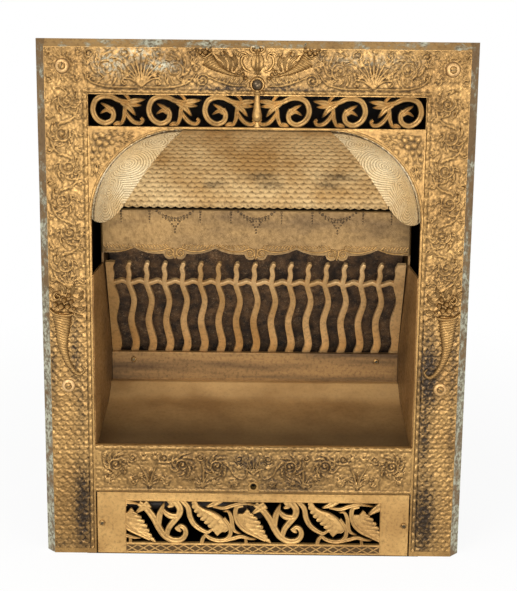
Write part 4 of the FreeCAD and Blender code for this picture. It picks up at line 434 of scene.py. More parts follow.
def grid_faces(rows, cols):
    """The four-cornered faces of a grid of points."""
    index = np.arange(rows * cols).reshape(rows, cols)
    corners = [index[:-1, :-1], index[:-1, 1:], index[1:, 1:], index[1:, :-1]]
    return np.stack(corners, -1).reshape(-1, 4)


def rim_of(rows, cols):
    """The points round the edge of a grid, in order."""
    index = np.arange(rows * cols).reshape(rows, cols)
    return np.concatenate([index[0, :-1], index[:-1, -1], index[-1, :0:-1], index[:0:-1, 0]])


def tube_faces(rings, corners):
    """The faces of a tube of rings, with one face across each end."""
    index = np.arange(rings * corners).reshape(rings, corners)
    beyond = np.roll(index, -1, axis=1)
    quads = np.stack([index[:-1], beyond[:-1], beyond[1:], index[1:]], -1).reshape(-1, 4).tolist()
    return quads + [index[0].tolist(), index[-1, ::-1].tolist()]


def sideways(line):
    """The unit step to the left at each point of a line, and how far apart its points are there."""
    along = np.gradient(line, axis=0)
    stretch = np.linalg.norm(along, axis=1)
    along /= stretch[:, None]
    return np.column_stack([-along[:, 1], along[:, 0]]), stretch


def spiral(x, z, radius, turns, start, hand, wind, count):
    """Points that wind in to an eye: wind is the share of the radius that they lose."""
    t = np.linspace(0, 1, count)
    angle = math.radians(start) + hand * 2 * math.pi * turns * t
    reach = radius * (1 - wind * t)
    return np.column_stack([x + reach * np.cos(angle), z + reach * np.sin(angle)])


def way_along(line):
    """How far each point of a line lies from its start."""
    return np.concatenate([[0], np.cumsum(np.linalg.norm(np.diff(line, axis=0), axis=1))])


def slab(front, back):
    """A closed solid between two grids of points."""
    rows, cols = front.shape[:2]
    behind = rows * cols
    rim = rim_of(rows, cols)
    after = np.roll(rim, -1)
    sides = np.stack([rim, after, after + behind, rim + behind], -1)
    quads = grid_faces(rows, cols)
    spots = np.vstack([front.reshape(-1, 3), back.reshape(-1, 3)])
    return spots, np.vstack([quads, quads[:, ::-1] + behind, sides]).tolist()


def backed(front, shift):
    """A grid whose rim is carried along a shift and covered there by one flat face."""
    rows, cols = front.shape[:2]
    rim = rim_of(rows, cols)
    flat = front.reshape(-1, 3)
    far = np.arange(len(rim)) + rows * cols
    sides = np.stack([rim, np.roll(rim, -1), np.roll(far, -1), far], -1)
    faces = grid_faces(rows, cols).tolist() + sides.tolist() + [far.tolist()]
    return np.vstack([flat, flat[rim] + np.array(shift)]), faces


def together(shapes):
    """Several closed shapes as one."""
    spots = []
    faces = []
    start = 0
    for some_spots, some_faces in shapes:
        spots.append(np.asarray(some_spots, float))
        faces += [[start + corner for corner in face] for face in some_faces]
        start += len(some_spots)
    return np.vstack(spots), faces


def mirrored(shape):
    """The same shape on the other hand."""
    return np.asarray(shape[0]) * (-1, 1, 1), [face[::-1] for face in shape[1]]


def cast(name, shape, material, slot, body="insert", stands_for=(), crisp=40, **stored):
    """Makes the piece in metres; it rides on its body and stores the paint's numbers. The slot is not used.
    """
    spots, faces = shape
    mesh = bpy.data.meshes.new(name)
    mesh.from_pydata((np.asarray(spots) * MM).tolist(), [], faces)
    for label, given in stored.items():
        values = np.zeros(len(spots), np.float32)
        values[:np.size(given)] = np.ravel(given)
        mesh.attributes.new(label, "FLOAT", "POINT").data.foreach_set("value", values)
    work = bmesh.new()
    work.from_mesh(mesh)
    bmesh.ops.recalc_face_normals(work, faces=work.faces)
    work.to_mesh(mesh)
    work.free()
    mesh.shade_smooth()
    mesh.set_sharp_from_angle(angle=math.radians(crisp))
    mesh.materials.append(material)
    piece = bpy.data.objects.new(name, mesh)
    bpy.context.scene.collection.objects.link(piece)
    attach(piece, body)
    if stands_for:
        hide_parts(*stands_for)
    print(name, len(faces), "faces")


def cast_pair(name, left, material, slot, stands_for="", **rest):
    """Makes a left piece and its mirror image on the right."""
    for hand, shape in (("left_", left), ("right_", mirrored(left))):
        cast(hand + name, shape, material, slot, stands_for=[hand + stands_for] if stands_for else (), **rest)


# %% [markdown]
# ## Strokes
# Cast scrollwork is drawn as strokes: a line that swells and tapers, with a rounded or grooved top. The same
# sweep makes the pierced frieze, the lower panel, the flame bars and the valance's small ornament.

# %% Swept strokes
ROUND_TOP = [(-1, 0), (-1, 0.5), (-0.8, 0.82), (-0.42, 0.97), (0, 1), (0.42, 0.97), (0.8, 0.82), (1, 0.5),
             (1, 0)]
GROOVED_TOP = [(-1, 0), (-1, 0.62), (-0.84, 0.9), (-0.52, 1), (-0.2, 0.9), (0, 0.84), (0.2, 0.9), (0.52, 1),
               (0.84, 0.9), (1, 0.62), (1, 0)]
FLAT_TOP = [(-1, 0), (-1, 0.88), (-0.94, 0.97), (-0.84, 1), (0.84, 1), (0.94, 0.97), (1, 0.88), (1, 0)]


def swept(points, widths, section, rise, step=2.0, reach=None, cap=0.0):
    """A closed stroke as (x, z, rise) spots: widths at start, middle and end, and a cap that rounds it."""
    line = smooth_line(points, step)
    if reach is not None:
        line = line[np.abs(line[:, 0]) <= reach]
    way = way_along(line)
    share = way / way[-1]
    start, middle, end = widths
    half = start * (1 - share) * (1 - 2 * share) + 4 * middle * share * (1 - share)
    half = half + end * share * (2 * share - 1)
    half = np.maximum(half, 0.8) / 2
    low = np.clip(half / (0.3 * half.max()), 0.45, 1)
    if cap:
        left = np.clip((way[-1] - way) / cap, 0, 1)
        half = half * np.sqrt(np.maximum(1 - (1 - left) ** 2, 0.04))
    section = np.array(section, float)
    beside = sideways(line)[0]
    flat = line[:, None, :] + beside[:, None, :] * (half[:, None] * section[None, :, 0])[:, :, None]
    height = rise * low[:, None] * section[None, :, 1]
    spots = np.dstack([flat, height]).reshape(-1, 3)
    return spots, tube_faces(*height.shape)


def straight(start, end):
    """The start, middle and end of a straight stroke."""
    return [start, tuple((a + b) / 2 for a, b in zip(start, end)), end]


def on_face(stroke, back):
    """Stands a drawn stroke on a plane of the face: its rise comes towards the eye from depth back."""
    spots, faces = stroke
    return np.column_stack([spots[:, 0], back - spots[:, 2], spots[:, 1]]), faces


print("sections of", len(ROUND_TOP), len(GROOVED_TOP), len(FLAT_TOP), "points")

# %% [markdown]
# ## Relief
# The stiles, header and sill carry low scroll relief. A sculptor would draw it in clay: stems, curls, fans of
# ribbed leaf. Here each mark is a line with a width and a height, and the surface takes the highest mark over
# every spot of a fine grid. It is drawn for the left hand only; the face is the same on both hands. Sculpting
# by hand would look as good but couldn't be run again from a script.

# %% Marks in clay
DASH_PITCH_MM = 13.0
marks = []


def stem(points, widths, height, groove=0.0):
    """A rounded stem or rib."""
    line = smooth_line(points, 1.1)
    half = np.interp(np.linspace(0, 1, len(line)), np.linspace(0, 1, len(widths)), widths) / 2
    marks.append((line, half, height, groove))


def curl(x, z, radius, turns, start, hand, width, height):
    """A volute that winds in to an eye."""
    points = spiral(x, z, radius, turns, start, hand, 0.82, int(14 * turns) + 4)
    stem(points, (width, width * 0.9, width * 0.7), height, 0.35)
    eye = np.array([[x, z]])
    marks.append((eye, np.array([max(1.6, 0.2 * radius)]), height * 1.15, 0.0))


def leaf_fan(x, z, length, angle, spread, ribs, width, height, bend=0.0):
    """A ribbed leaf: ribs that spread from a foot and curve away at their tips."""
    for rib in range(ribs):
        lean = rib / (ribs - 1) - 0.5
        turn = math.radians(angle + spread * lean)
        far = length * (1 - 0.4 * abs(2 * lean) ** 1.6)
        tip = turn + math.radians(bend * (2 * lean if bend > 0 else 1))
        middle = (x + 0.55 * far * math.cos(turn), z + 0.55 * far * math.sin(turn))
        end = (middle[0] + 0.45 * far * math.cos(tip), middle[1] + 0.45 * far * math.sin(tip))
        stem([(x, z), middle, end], (width * 0.6, width, width * 0.55), height)


def raised(x, z):
    """Height in mm of the marks over points of the face."""
    left = -np.abs(x)
    rise = np.zeros(x.shape)
    for line, half, height, groove in marks:
        reach = half.max()
        near = (left > line[:, 0].min() - reach) & (left < line[:, 0].max() + reach)
        near &= (z > line[:, 1].min() - reach) & (z < line[:, 1].max() + reach)
        if near.any():
            gap = np.hypot(left[near][:, None] - line[:, 0], z[near][:, None] - line[:, 1]) / half
            gap = gap.min(axis=1)
            dome = height * np.sqrt(np.clip(1 - gap ** 2, 0, 1)) * (1 - groove * np.exp(-(gap / 0.3) ** 2))
            rise[near] = np.maximum(rise[near], dome)
    return rise


def scale_rows(x, z, period, pitch, height, depth):
    """Rows of overlapping scales that point down; depth is how far an edge hangs, in rows."""
    rise = np.zeros(x.shape)
    open_spots = np.ones(x.shape, bool)
    for back in range(4):
        row = np.floor(z / pitch) - back
        u = (x / period + 0.5 * (row % 2)) % 1 - 0.5
        edge = (row + depth * (1 - np.sqrt(np.clip(1 - 3.9 * u * u, 0, 1)))) * pitch
        here = open_spots & (z >= edge)
        fall = np.clip((z - edge) / ((0.9 + depth) * pitch), 0, 1)
        rise[here] = (height * (1 - fall))[here]
        open_spots &= ~here
    return rise


def hollows(height, reach):
    """How far each spot lies below its surroundings, from 0 on the tops to 1 in the hollows."""
    soft = height
    for axis in (0, 1):
        soft = sum(np.roll(soft, step, axis) for step in range(-reach, reach + 1)) / (2 * reach + 1)
    return np.clip(0.06 + (soft - height) / 1.0, 0, 1)


# Where it steers cavity, the deeper spots of a piece take a painted shade.
def sunk(spots, top, reach):
    """How far each spot of a shape lies behind its front, from 0 at a depth top to 1 a reach further in."""
    return np.clip((spots[:, 1] - top) / reach, 0, 1)


chance = np.random.default_rng(7)


def clumps(rows, cols, cell):
    """Smooth random lumps of about a cell across, from 0 to 1."""
    coarse = chance.random((rows // cell + 3, cols // cell + 3))
    up = np.linspace(0, coarse.shape[0] - 1.001, rows)
    over = np.linspace(0, coarse.shape[1] - 1.001, cols)
    low_row = up.astype(int)
    low_col = over.astype(int)
    row_share = up - low_row
    col_share = over - low_col
    row_share = (row_share ** 2 * (3 - 2 * row_share))[:, None]
    col_share = (col_share ** 2 * (3 - 2 * col_share))[None, :]
    near = coarse[low_row][:, low_col] * (1 - col_share) + coarse[low_row][:, low_col + 1] * col_share
    coarse = coarse[1:]
    far = coarse[low_row][:, low_col] * (1 - col_share) + coarse[low_row][:, low_col + 1] * col_share
    return near * (1 - row_share) + far * row_share


def dashes(along, across, middle, width, height):
    """A border of rounded dashes, as bead and reel is cast at this size."""
    run = 0.35 + 0.65 * np.clip(2.2 * np.sin(np.pi * ((along / DASH_PITCH_MM) % 1)) - 1.0, 0, 1)
    return height * np.sqrt(np.clip(1 - ((across - middle) / (width / 2)) ** 2, 0, 1)) * run


print("clay tools ready")

# %% [markdown]
# ## Drawing the ornament
# Acanthus whorls climb each stile under a corner boss; a palmette stands between two whorls on each half of
# the header; the sill has a row of whorls with leaf between; fruit and leaf fill the corners over the arch.
# A whorl is a small volute in a ring of ribs that all bend one way, which is how a curling leaf reads at
# this size.

# %% Draw the stiles, header, sill and corners


def whorl(x, z, radius, start, hand, ribs=17):
    """A curled acanthus leaf: a volute within a ring of bent ribs."""
    curl(x, z, 0.56 * radius, 1.7, start, hand, 2.3, 1.5)
    for rib in range(ribs):
        turn = math.radians(start + hand * 330 * rib / ribs)
        far = radius * (1 + 0.14 * math.sin(2.1 * rib))
        points = []
        for share, lean in ((0.60, 0.0), (0.80, 0.20), (1.0, 0.52)):
            reach = share * far
            way = turn + hand * lean
            points.append((x + reach * math.cos(way), z + reach * math.sin(way)))
        stem(points, (1.5, 2.3, 1.1), 1.35)


WHORL_LEVELS = (664, 618, 572, 526, 480, 434)
CORNER_BOSS = (-267, 711)
STILE_MIDDLE = -266
WHORL_MIDDLE = -265.5
for count, level in enumerate(WHORL_LEVELS):
    hand = 1 if count % 2 == 0 else -1
    middle = WHORL_MIDDLE + 3.5 * hand
    whorl(middle, level, 20.5, 90 + 60 * hand, hand)
    link = [(middle + aside * hand, level - drop) for aside, drop in ((16, 10), (8, 24), (-13, 34))]
    stem(link, (2.4, 3.0, 2.0), 1.5, 0.3)
    for side in (-1, 1):
        curl(STILE_MIDDLE + 21.5 * side, level - 23, 4.2, 1.3, 90 - 90 * side, side * hand, 1.8, 1.3)
        leaf_fan(STILE_MIDDLE + 13 * side, level - 21, 11, 90 - 70 * side, 90, 5, 1.9, 1.1, 30)
        leaf_fan(STILE_MIDDLE + 22 * side, level - 4, 9, 90 - 10 * side, 80, 4, 1.7, 1.0, 30)
for turn in range(0, 360, 20):
    ring_x = CORNER_BOSS[0] + 13.5 * math.cos(math.radians(turn))
    ring_z = CORNER_BOSS[1] + 13.5 * math.sin(math.radians(turn))
    leaf_fan(ring_x, ring_z, 8, turn + 25, 40, 3, 1.8, 1.0, 30)
for x, z, radius, hand in ((-247, 694, 6, 1), (-286, 692, 5, -1), (-245, 729, 5, -1), (-287, 729, 5, 1)):
    curl(x, z, radius, 1.4, 120, hand, 1.9, 1.3)
leaf_fan(-264, 400, 22, 80, 130, 11, 2.2, 1.3, 30)

for x, z, radius, start, hand in ((-206, 709, 23, 250, -1), (-113, 707, 22, 290, 1)):
    whorl(x, z, radius, start, hand, 21)
leaf_fan(-159, 683, 46, 90, 100, 11, 3.0, 1.5, 24)
stem([(-165, 683), (-184, 683), (-207, 684), (-228, 690), (-238, 703)], (2.6, 3.4, 2.0), 1.6, 0.3)
stem([(-153, 683), (-136, 683), (-115, 684), (-95, 690), (-84, 703)], (2.6, 3.4, 2.0), 1.6, 0.3)
for x, z, radius, start, hand in ((-181, 728, 7, 200, -1), (-137, 728, 7, -20, 1), (-88, 728, 7, 180, -1),
                                  (-231, 727, 7, 0, 1), (-233, 697, 5, 90, -1), (-182, 690, 5, 60, 1),
                                  (-136, 690, 5, 120, -1), (-160, 735, 4, 90, 1), (-47, 730, 6, 200, 1),
                                  (-84, 709, 5, 0, 1), (-30, 731, 4, 0, -1)):
    curl(x, z, radius, 1.5, start, hand, 2.0, 1.4)
for x, z, length, angle in ((-180, 712, 15, 75), (-140, 712, 15, 105), (-232, 712, 13, 110),
                            (-90, 714, 13, 60), (-88, 694, 12, 350), (-176, 697, 12, 130),
                            (-144, 697, 12, 50), (-205, 733, 10, 90), (-113, 731, 10, 90),
                            (-67, 737, 9, 200), (-216, 690, 11, 150), (-104, 689, 11, 30)):
    leaf_fan(x, z, length, angle, 95, 6, 2.0, 1.2, 30)
curl(-75, 693, 9, 1.7, 20, 1, 2.4, 1.6)
stem([(-67, 698), (-52, 692), (-34, 687), (-16, 686)], (2.0, 3.4, 2.4), 1.6, 0.3)
for number in range(8):
    stem([(-60 + 6 * number, 690), (-56 + 6 * number, 695), (-55 + 6 * number, 699)], (1.2, 2.2, 1.0), 1.2)

for x, z, radius, start in ((-201, 138, 19, 250), (-104, 138, 18, 230), (-53, 137, 18, 240)):
    whorl(x, z, radius, start, -1, 19)
for x, z, radius, start, hand in ((-177, 149, 7, 200, 1), (-131, 149, 8, 180, 1), (-78, 151, 6, 0, -1),
                                  (-21, 149, 7, 180, 1), (-217, 153, 4, 20, 1), (-176, 112, 5, 20, -1),
                                  (-127, 112, 5, 160, 1), (-80, 110, 5, 20, -1), (-27, 112, 5, 160, 1)):
    curl(x, z, radius, 1.6, start, hand, 1.9, 1.2)
for points in ([(-152, 103), (-148, 122), (-140, 142)], [(-152, 103), (-157, 122), (-168, 141)],
               [(-139, 143), (-122, 143), (-104, 154), (-92, 157)], [(-74, 103), (-72, 125), (-76, 144)],
               [(-34, 137), (-28, 124), (-16, 118), (-10, 126), (-9, 140)]):
    stem(points, (2.0, 2.6, 1.6), 1.3, 0.3)
for x, z, length, angle in ((-152, 104, 26, 90), (-74, 104, 24, 90), (-184, 118, 16, 340),
                            (-168, 126, 14, 310), (-134, 124, 16, 240), (-122, 114, 14, 170),
                            (-86, 122, 14, 200), (-62, 112, 14, 10), (-34, 114, 14, 330),
                            (-22, 132, 13, 80), (-216, 112, 14, 40), (-214, 124, 11, 120),
                            (0, 124, 30, 90), (-160, 145, 11, 100), (-145, 146, 11, 80)):
    leaf_fan(x, z, length, angle, 90, 7, 1.8, 1.1, 30)

FRUIT_SPOTS = [
    (-223, 615, 4.5), (-214, 617, 4.0), (-205, 614, 4.2), (-197, 618, 3.0), (-218, 607, 4.4),
    (-209, 605, 4.0), (-200, 607, 3.4), (-225, 598, 3.8), (-216, 597, 3.4), (-227, 588, 3.4),
    (-219, 588, 2.8), (-189, 619, 2.4), (-182, 621, 2.0), (-176, 620, 1.8), (-228, 578, 2.4),
    (-228, 570, 2.0), (-229, 562, 1.8), (-192, 610, 2.4), (-208, 596, 2.4), (-229, 607, 2.6),
]
for x, z, radius in FRUIT_SPOTS:
    marks.append((np.array([[x, z]]), np.array([radius]), 0.55 * radius, 0.35))
for x, z, length, angle in ((-190, 612, 18, -14), (-196, 600, 14, -40), (-208, 592, 14, 285),
                            (-220, 582, 16, 265), (-224, 572, 14, 280), (-184, 617, 14, -6),
                            (-203, 622, 10, 20), (-230, 592, 10, 250)):
    leaf_fan(x, z, length, angle, 80, 5, 1.9, 1.5, 25)
print("marks:", len(marks))

# %% [markdown]
# ## Soot, wear and painted shadow
# Smoke and hands have darkened the casting in places: low on both stiles beside the fire, round the
# cornucopias and along the sill, and under the crest, where the two spots under its wings are a painted
# shadow. On the header the colour turns pale in patches. A few soft spots, each with a middle, a reach each
# way and a strength, say where.

# %% Where the bronze has darkened
# The two spots at 683 mm under the crest's wings are painted shadow; the others are soot.
SOOT_AND_SHADOW_SPOTS = [
    (-250, 70, 9, 50, 1.3), (-250, 230, 6, 45, 0.5), (-291, 285, 5, 45, 0.8), (-256, 305, 6, 40, 0.8),
    (250, 275, 10, 45, 1.4), (247, 190, 7, 50, 1.0), (251, 60, 12, 50, 1.2), (286, 300, 5, 65, 0.7),
    (286, 190, 4, 50, 0.5), (-50, 683, 36, 4, 0.9), (50, 683, 36, 4, 0.8), (10, 130, 120, 60, 0.35),
    (40, 108, 60, 14, 0.6), (-6, 146, 26, 12, 0.8), (0, 707, 120, 60, 0.15), (-290, 12, 22, 8, 0.5),
    (-150, 104, 30, 6, 0.4),
]
# Where the header's colour turns paler in patches.
PALE_PATCH_SPOTS = [(-165, 730, 22, 7, 0.4), (-133, 712, 14, 5, 0.7), (-200, 716, 14, 10, 0.5),
               (150, 722, 40, 6, 0.2)]


def darkened(x, z, spots=SOOT_AND_SHADOW_SPOTS):
    """How much soot and painted shadow lie on points of the face; with other spots, how pale its patches are.
    """
    darkening = np.zeros(x.shape)
    for middle_x, middle_z, reach_x, reach_z, strength in spots:
        far = ((x - middle_x) / reach_x) ** 2 + ((z - middle_z) / reach_z) ** 2
        darkening = np.maximum(darkening, strength * np.exp(-0.5 * far))
    return darkening


print("soot spots:", len(SOOT_AND_SHADOW_SPOTS))

# %% [markdown]
# ## The carved fields
# Each field is a fine sheet just proud of the face, with its rim let into the casting. Scales cover the
# stiles from the cornucopias down. A border of dashes runs up beside the fire opening and over the frieze,
# and two more edge the sill.

# %% Stiles, header and sill
FIELD_PITCH_MM = 1.05
GROUND = -0.15
# The ground between the leaves was stippled, so that it sparkles rather than lies flat.
GROUND_STIPPLE = 0.85
SCALE_PERIOD_MM = 12.4
SCALE_PITCH_MM = 7.3
SCALES_TOP = 392.0
SCALES_FADE = 360.0
STILE_INNER = 241.0
BORDER_MIDDLE = 236.8
BORDER_WIDTH = 5.4
BORDER_REACH = 240.0
LEVEL_MIDDLE = 677.4
LEVEL_FOOT = 674.0
LEVEL_HEAD = 680.5
SILL_REACH = 222.0
SILL_FOOT = 101.5
SILL_HEAD = 160.0
RELIEF_GAIN = 1.25
LET_IN = (0, 1.5, 0)


def field_height(x, z):
    """Relief over the stiles and header."""
    rise = raised(x, z)
    aside = np.abs(x)
    on_stile = (aside > STILE_INNER) & (z < SCALES_TOP)
    scales = scale_rows(aside + STILE_MIDDLE, z, SCALE_PERIOD_MM, SCALE_PITCH_MM, 1.0, 0.7)
    rise = np.where(on_stile, np.maximum(scales, rise * (z > SCALES_FADE)), rise)
    upright = dashes(z, aside, BORDER_MIDDLE, BORDER_WIDTH, 1.5)
    level = dashes(x + DASH_PITCH_MM / 2, z, LEVEL_MIDDLE, 4.8, 1.6)
    inside = (aside < BORDER_REACH) & (z < LEVEL_HEAD)
    rise = np.where(inside, upright * (z < LEVEL_FOOT), rise)
    return np.where(inside & (z > LEVEL_FOOT + 0.5), level, rise)


def sill_height(x, z):
    """Relief over the sill."""
    rise = 1.3 * raised(x, z) * ((np.abs(x) < SILL_REACH) & (z > SILL_FOOT) & (z < SILL_HEAD))
    for middle, width, height in ((164.4, 4.6, 1.4), (99.6, 3.2, 1.1)):
        rise = np.maximum(rise, dashes(x, z, middle, width, height))
    return rise


def carved(name, corner, far_corner, height_at):
    """One carved field between two corners of the face."""
    lines = []
    for near, far in zip(corner, far_corner):
        lines.append(np.linspace(near, far, int(round((far - near) / FIELD_PITCH_MM)) + 1))
    x, z = np.meshgrid(*lines)
    height = RELIEF_GAIN * height_at(x, z) + GROUND_STIPPLE * clumps(*x.shape, 3)
    depth = hollows(height, 3)
    cast(name, backed(np.dstack([x, GROUND - height, z]), LET_IN), face_bronze, "gilt_iron", crisp=80,
         cavity=depth, soot=darkened(x, z) * (0.8 + depth), bloom=darkened(x, z, PALE_PATCH_SPOTS))


carved("left_stile_relief", (-291.5, 8), (-233.7, 736), field_height)
carved("right_stile_relief", (233.7, 8), (291.5, 736), field_height)
carved("header_relief", (-233.7, 674.4), (233.7, 736), field_height)
carved("left_sill_relief", (-230.6, 97.4), (-7.8, 167.4), sill_height)
carved("right_sill_relief", (7.8, 97.4), (230.6, 167.4), sill_height)
carved("middle_sill_relief", (-7.8, 114.2), (7.8, 167.4), sill_height)

# %% [markdown]
# ## Corners over the arch
# The two corners between the arch and the frieze hold fruit and leaf. Their sheet follows the arch, so
# its grid runs round the arch's centre instead of along the face.

# %% Corner clusters and arch bead
ARCH_CENTRE = (-103.0, 498.0)
ARCH_RADIUS = 128.0
CLUSTER_SIDE = 231.5
CLUSTER_TOP = 625.0
angle, share = np.meshgrid(np.radians(np.linspace(110.5, 163.5, 90)), np.linspace(0, 1, 40))
near = ARCH_RADIUS + 4.6
to_side = (CLUSTER_SIDE + ARCH_CENTRE[0]) / -np.cos(angle)
far = np.minimum(to_side, (CLUSTER_TOP - ARCH_CENTRE[1]) / np.sin(angle))
reach = near + (np.maximum(far, near + 0.4) - near) * share
x = ARCH_CENTRE[0] + reach * np.cos(angle)
z = ARCH_CENTRE[1] + reach * np.sin(angle)
height = raised(x, z)
cluster = slab(np.dstack([x, GROUND - height, z]), np.dstack([x, np.full_like(x, 1.0), z]))
cast_pair("corner_fruit", cluster, face_bronze, "gilt_iron", cavity=hollows(height, 3), crisp=80)
bead_radius = ARCH_RADIUS + 2.2
turns = np.radians(np.arange(184, 88, -6))
left_arc = np.column_stack([np.cos(turns), np.sin(turns)]) * bead_radius + np.array(ARCH_CENTRE)
right_arc = left_arc[::-1] * (-1, 1)
bead = swept(np.vstack([left_arc, right_arc]), (3.6,) * 3, ROUND_TOP, 2.0)
cast("arch_bead", on_face(bead, 0.6), face_bronze, "gilt_iron")

# %% [markdown]
# ## Pierced frieze
# The frieze under the header is open scrollwork: three spiral lobes on each half, each stem with a groove
# down its middle. The strokes repeat the CAD's own drawing and are swept finely with that groove; a lapped
# border holds them from behind, as on the casting.

# %% Frieze
FRIEZE_STROKES = [
    ([(33, 12), (20, 14), (9, 19), (-3, 19.5), (-13, 14), (-17, 1), (-12, -11), (-1, -17), (9, -13),
      (11.5, -4), (8, 4)], (6.5, 8.0, 7.0)),
    ([(9.5, 0), (2, 6), (-6.5, 10.5)], (7.5, 6.0, 0.8)),
    ([(9, -2), (2, 1), (-7.5, -4.5)], (6.5, 5.5, 0.8)),
    ([(27, 11), (40, 13.5), (55.5, 15.5)], (4.0, 8.0, 0.8)),
    ([(27, 11), (38, 8.5), (50.5, 7.5)], (4.0, 7.0, 0.8)),
    ([(22, 12), (33, 5), (42.5, -7)], (6.0, 8.0, 0.8)),
    ([(29, 12), (27, -1), (26, -9), (22, -17.5), (16, -18)], (6.0, 6.5, 4.0)),
    ([(26, 2), (33, -9), (40, -15.5), (48, -17), (52, -12.5), (49, -9.5)], (5.0, 6.5, 4.5)),
    ([(29, 10), (33, 15), (31, 19), (27, 23.5)], (5.0, 5.0, 6.0)),
    ([(11, -19), (16, -17.5), (21, -16)], (2.0, 7.0, 4.0)),
]
LOBE_MIDDLES = (-209.5, -132.2, -54.9)
LOBE_LEVEL = 650.5
# Plates and windows are given as half width, foot and head.
FRIEZE_PLATE = (235.5, 626.7, 675.5)
FRIEZE_WINDOW = (233.0, 629.0, 673.0)
FRIEZE_FRONT = 7.0
FRIEZE_BACK = 9.0


def ring_plate(plate, window, front, back, ease):
    """A flat plate with a window, its front edges eased."""
    half, low, high = plate
    hole_half, hole_low, hole_high = window
    loops = []
    for wide, bottom, top, depth in ((half, low, high, back), (half, low, high, front + ease),
                                     (half - ease, low + ease, high - ease, front),
                                     (hole_half + ease, hole_low - ease, hole_high + ease, front),
                                     (hole_half, hole_low, hole_high, front + ease),
                                     (hole_half, hole_low, hole_high, back)):
        loops.append([(-wide, depth, bottom), (wide, depth, bottom), (wide, depth, top), (-wide, depth, top)])
    faces = []
    for ring in range(6):
        for side in range(4):
            other = (side + 1) % 4
            following = (ring + 1) % 6
            faces.append([4 * ring + side, 4 * ring + other, 4 * following + other, 4 * following + side])
    return np.array(loops).reshape(-1, 3), faces


frieze = [ring_plate(FRIEZE_PLATE, FRIEZE_WINDOW, FRIEZE_FRONT, FRIEZE_BACK, 0.4)]
for middle in LOBE_MIDDLES:
    for points, widths in FRIEZE_STROKES:
        placed = [(x + middle, z + LOBE_LEVEL) for x, z in points]
        lobe = on_face(swept(placed, widths, GROOVED_TOP, 8.4, step=1.5), FRIEZE_BACK)
        frieze += [lobe, mirrored(lobe)]
frieze.append(on_face(swept([(0, 629), (0, 634), (0, 640)], (14, 9, 14), ROUND_TOP, 7.6), FRIEZE_BACK))
frieze_shape = together(frieze)
# The strokes darken where they fall back towards the plate: a painted shade.
cast("pierced_frieze", frieze_shape, panel_bronze, "gilt_iron", stands_for=["frieze_grille"],
     cavity=0.8 * sunk(frieze_shape[0], 0.9, 3.4))

# %% [markdown]
# ## Lower panel
# The lift-out panel covers the gas valve. Its plate is plain at the ends and pierced with a running scroll,
# which repeats the CAD's strokes. Lobed leaves lie between the strokes, with a vein to every notch, and a
# border of crossed struts is raised along the plate's foot.

# %% Lower panel
PANEL_STROKES = [
    ([(3, 78), (15, 68), (25, 54), (32, 40), (40, 28), (52, 20.5), (65, 21.5), (71.5, 30), (70, 39),
      (64, 42.5), (59, 38)], (9.0, 10.0, 6.0)),
    ([(57, 41), (61, 37), (66, 34)], (5.0, 6.0, 1.0)),
    ([(43, 27), (47, 40), (55, 51), (62, 61), (63, 71), (56, 81.5)], (8.0, 9.5, 11.0)),
    ([(32, 42), (33, 58), (40.5, 79.5)], (7.0, 9.5, 0.8)),
    ([(60, 58), (50, 58), (42, 63), (38, 70)], (7.0, 9.0, 3.0)),
    ([(48, 83), (52, 76), (44, 72)], (9.0, 8.0, 1.0)),
    ([(66, 83), (75, 72), (78, 58), (84, 46), (94, 37.5), (104, 33.5), (111, 38)], (7.0, 8.0, 4.0)),
    ([(100, 31), (107, 24.5), (119, 20.5), (131, 22), (137.5, 30), (137, 42), (128, 56)], (5.0, 6.5, 5.0)),
    ([(95, 13), (97, 23), (103, 31)], (7.0, 6.0, 4.0)),
    ([(128, 20), (142, 24), (154, 27), (166, 24), (177, 23)], (4.0, 6.0, 1.0)),
    ([(160, 25), (161, 19), (161, 13)], (4.0, 5.0, 7.0)),
    ([(126, 66), (134, 66.5), (139, 57), (140.5, 45), (144, 36), (154, 31)], (1.0, 7.0, 1.0)),
    ([(101, 73), (113, 77.5), (124, 84)], (1.0, 8.0, 9.0)),
    ([(112, 73.5), (128, 71.5), (142, 76), (157, 79), (178, 76)], (3.0, 6.0, 1.0)),
    ([(156, 76), (147, 73), (145, 62), (149, 49), (159, 38), (174, 30), (190, 22)], (6.0, 8.0, 6.0)),
    ([(168, 61), (176, 68), (189, 77)], (1.0, 9.0, 14.0)),
]
PANEL_REPEAT = 171.0
PANEL_PLATE = (229.4, 0.0, 95.2)
PANEL_WINDOW = (187.0, 16.5, 81.5)
WINDOW_HALF = PANEL_WINDOW[0]
SCROLL_REACH = 215.0
SCROLL_BACK = 5.8
STRUT_BACK = 0.6
STRUT_MM = 17.0
BORDER_FOOT = 3.6
BORDER_HEAD = 13.8
# Each leaf has a lobed edge and a plain one, both from its foot to its tip, and a count of lobes.
PANEL_LEAVES = [
    ([(81.5, 84), (80.5, 75.5), (84, 66.5), (90.5, 56.5), (99, 48), (105, 42), (111, 36), (118.4, 28.3)],
     [(86, 84), (91.6, 75), (100, 69.6), (110, 66.6), (119.4, 62), (127.2, 55.4), (133, 48), (136, 40),
      (131, 34.5), (125, 34), (119.4, 29)], 9),
    ([(162.5, 70), (169, 63.5), (176, 58), (182, 50), (187, 41), (191, 31), (198.2, 18.2)],
     [(161.5, 69.5), (156, 63), (147.5, 62), (146, 53), (151, 41), (162, 32), (178, 26), (197.6, 17)], 8),
]
LOBE_MM = 5.2
VEIN_MM = 1.1
LEAF_ROWS = 72


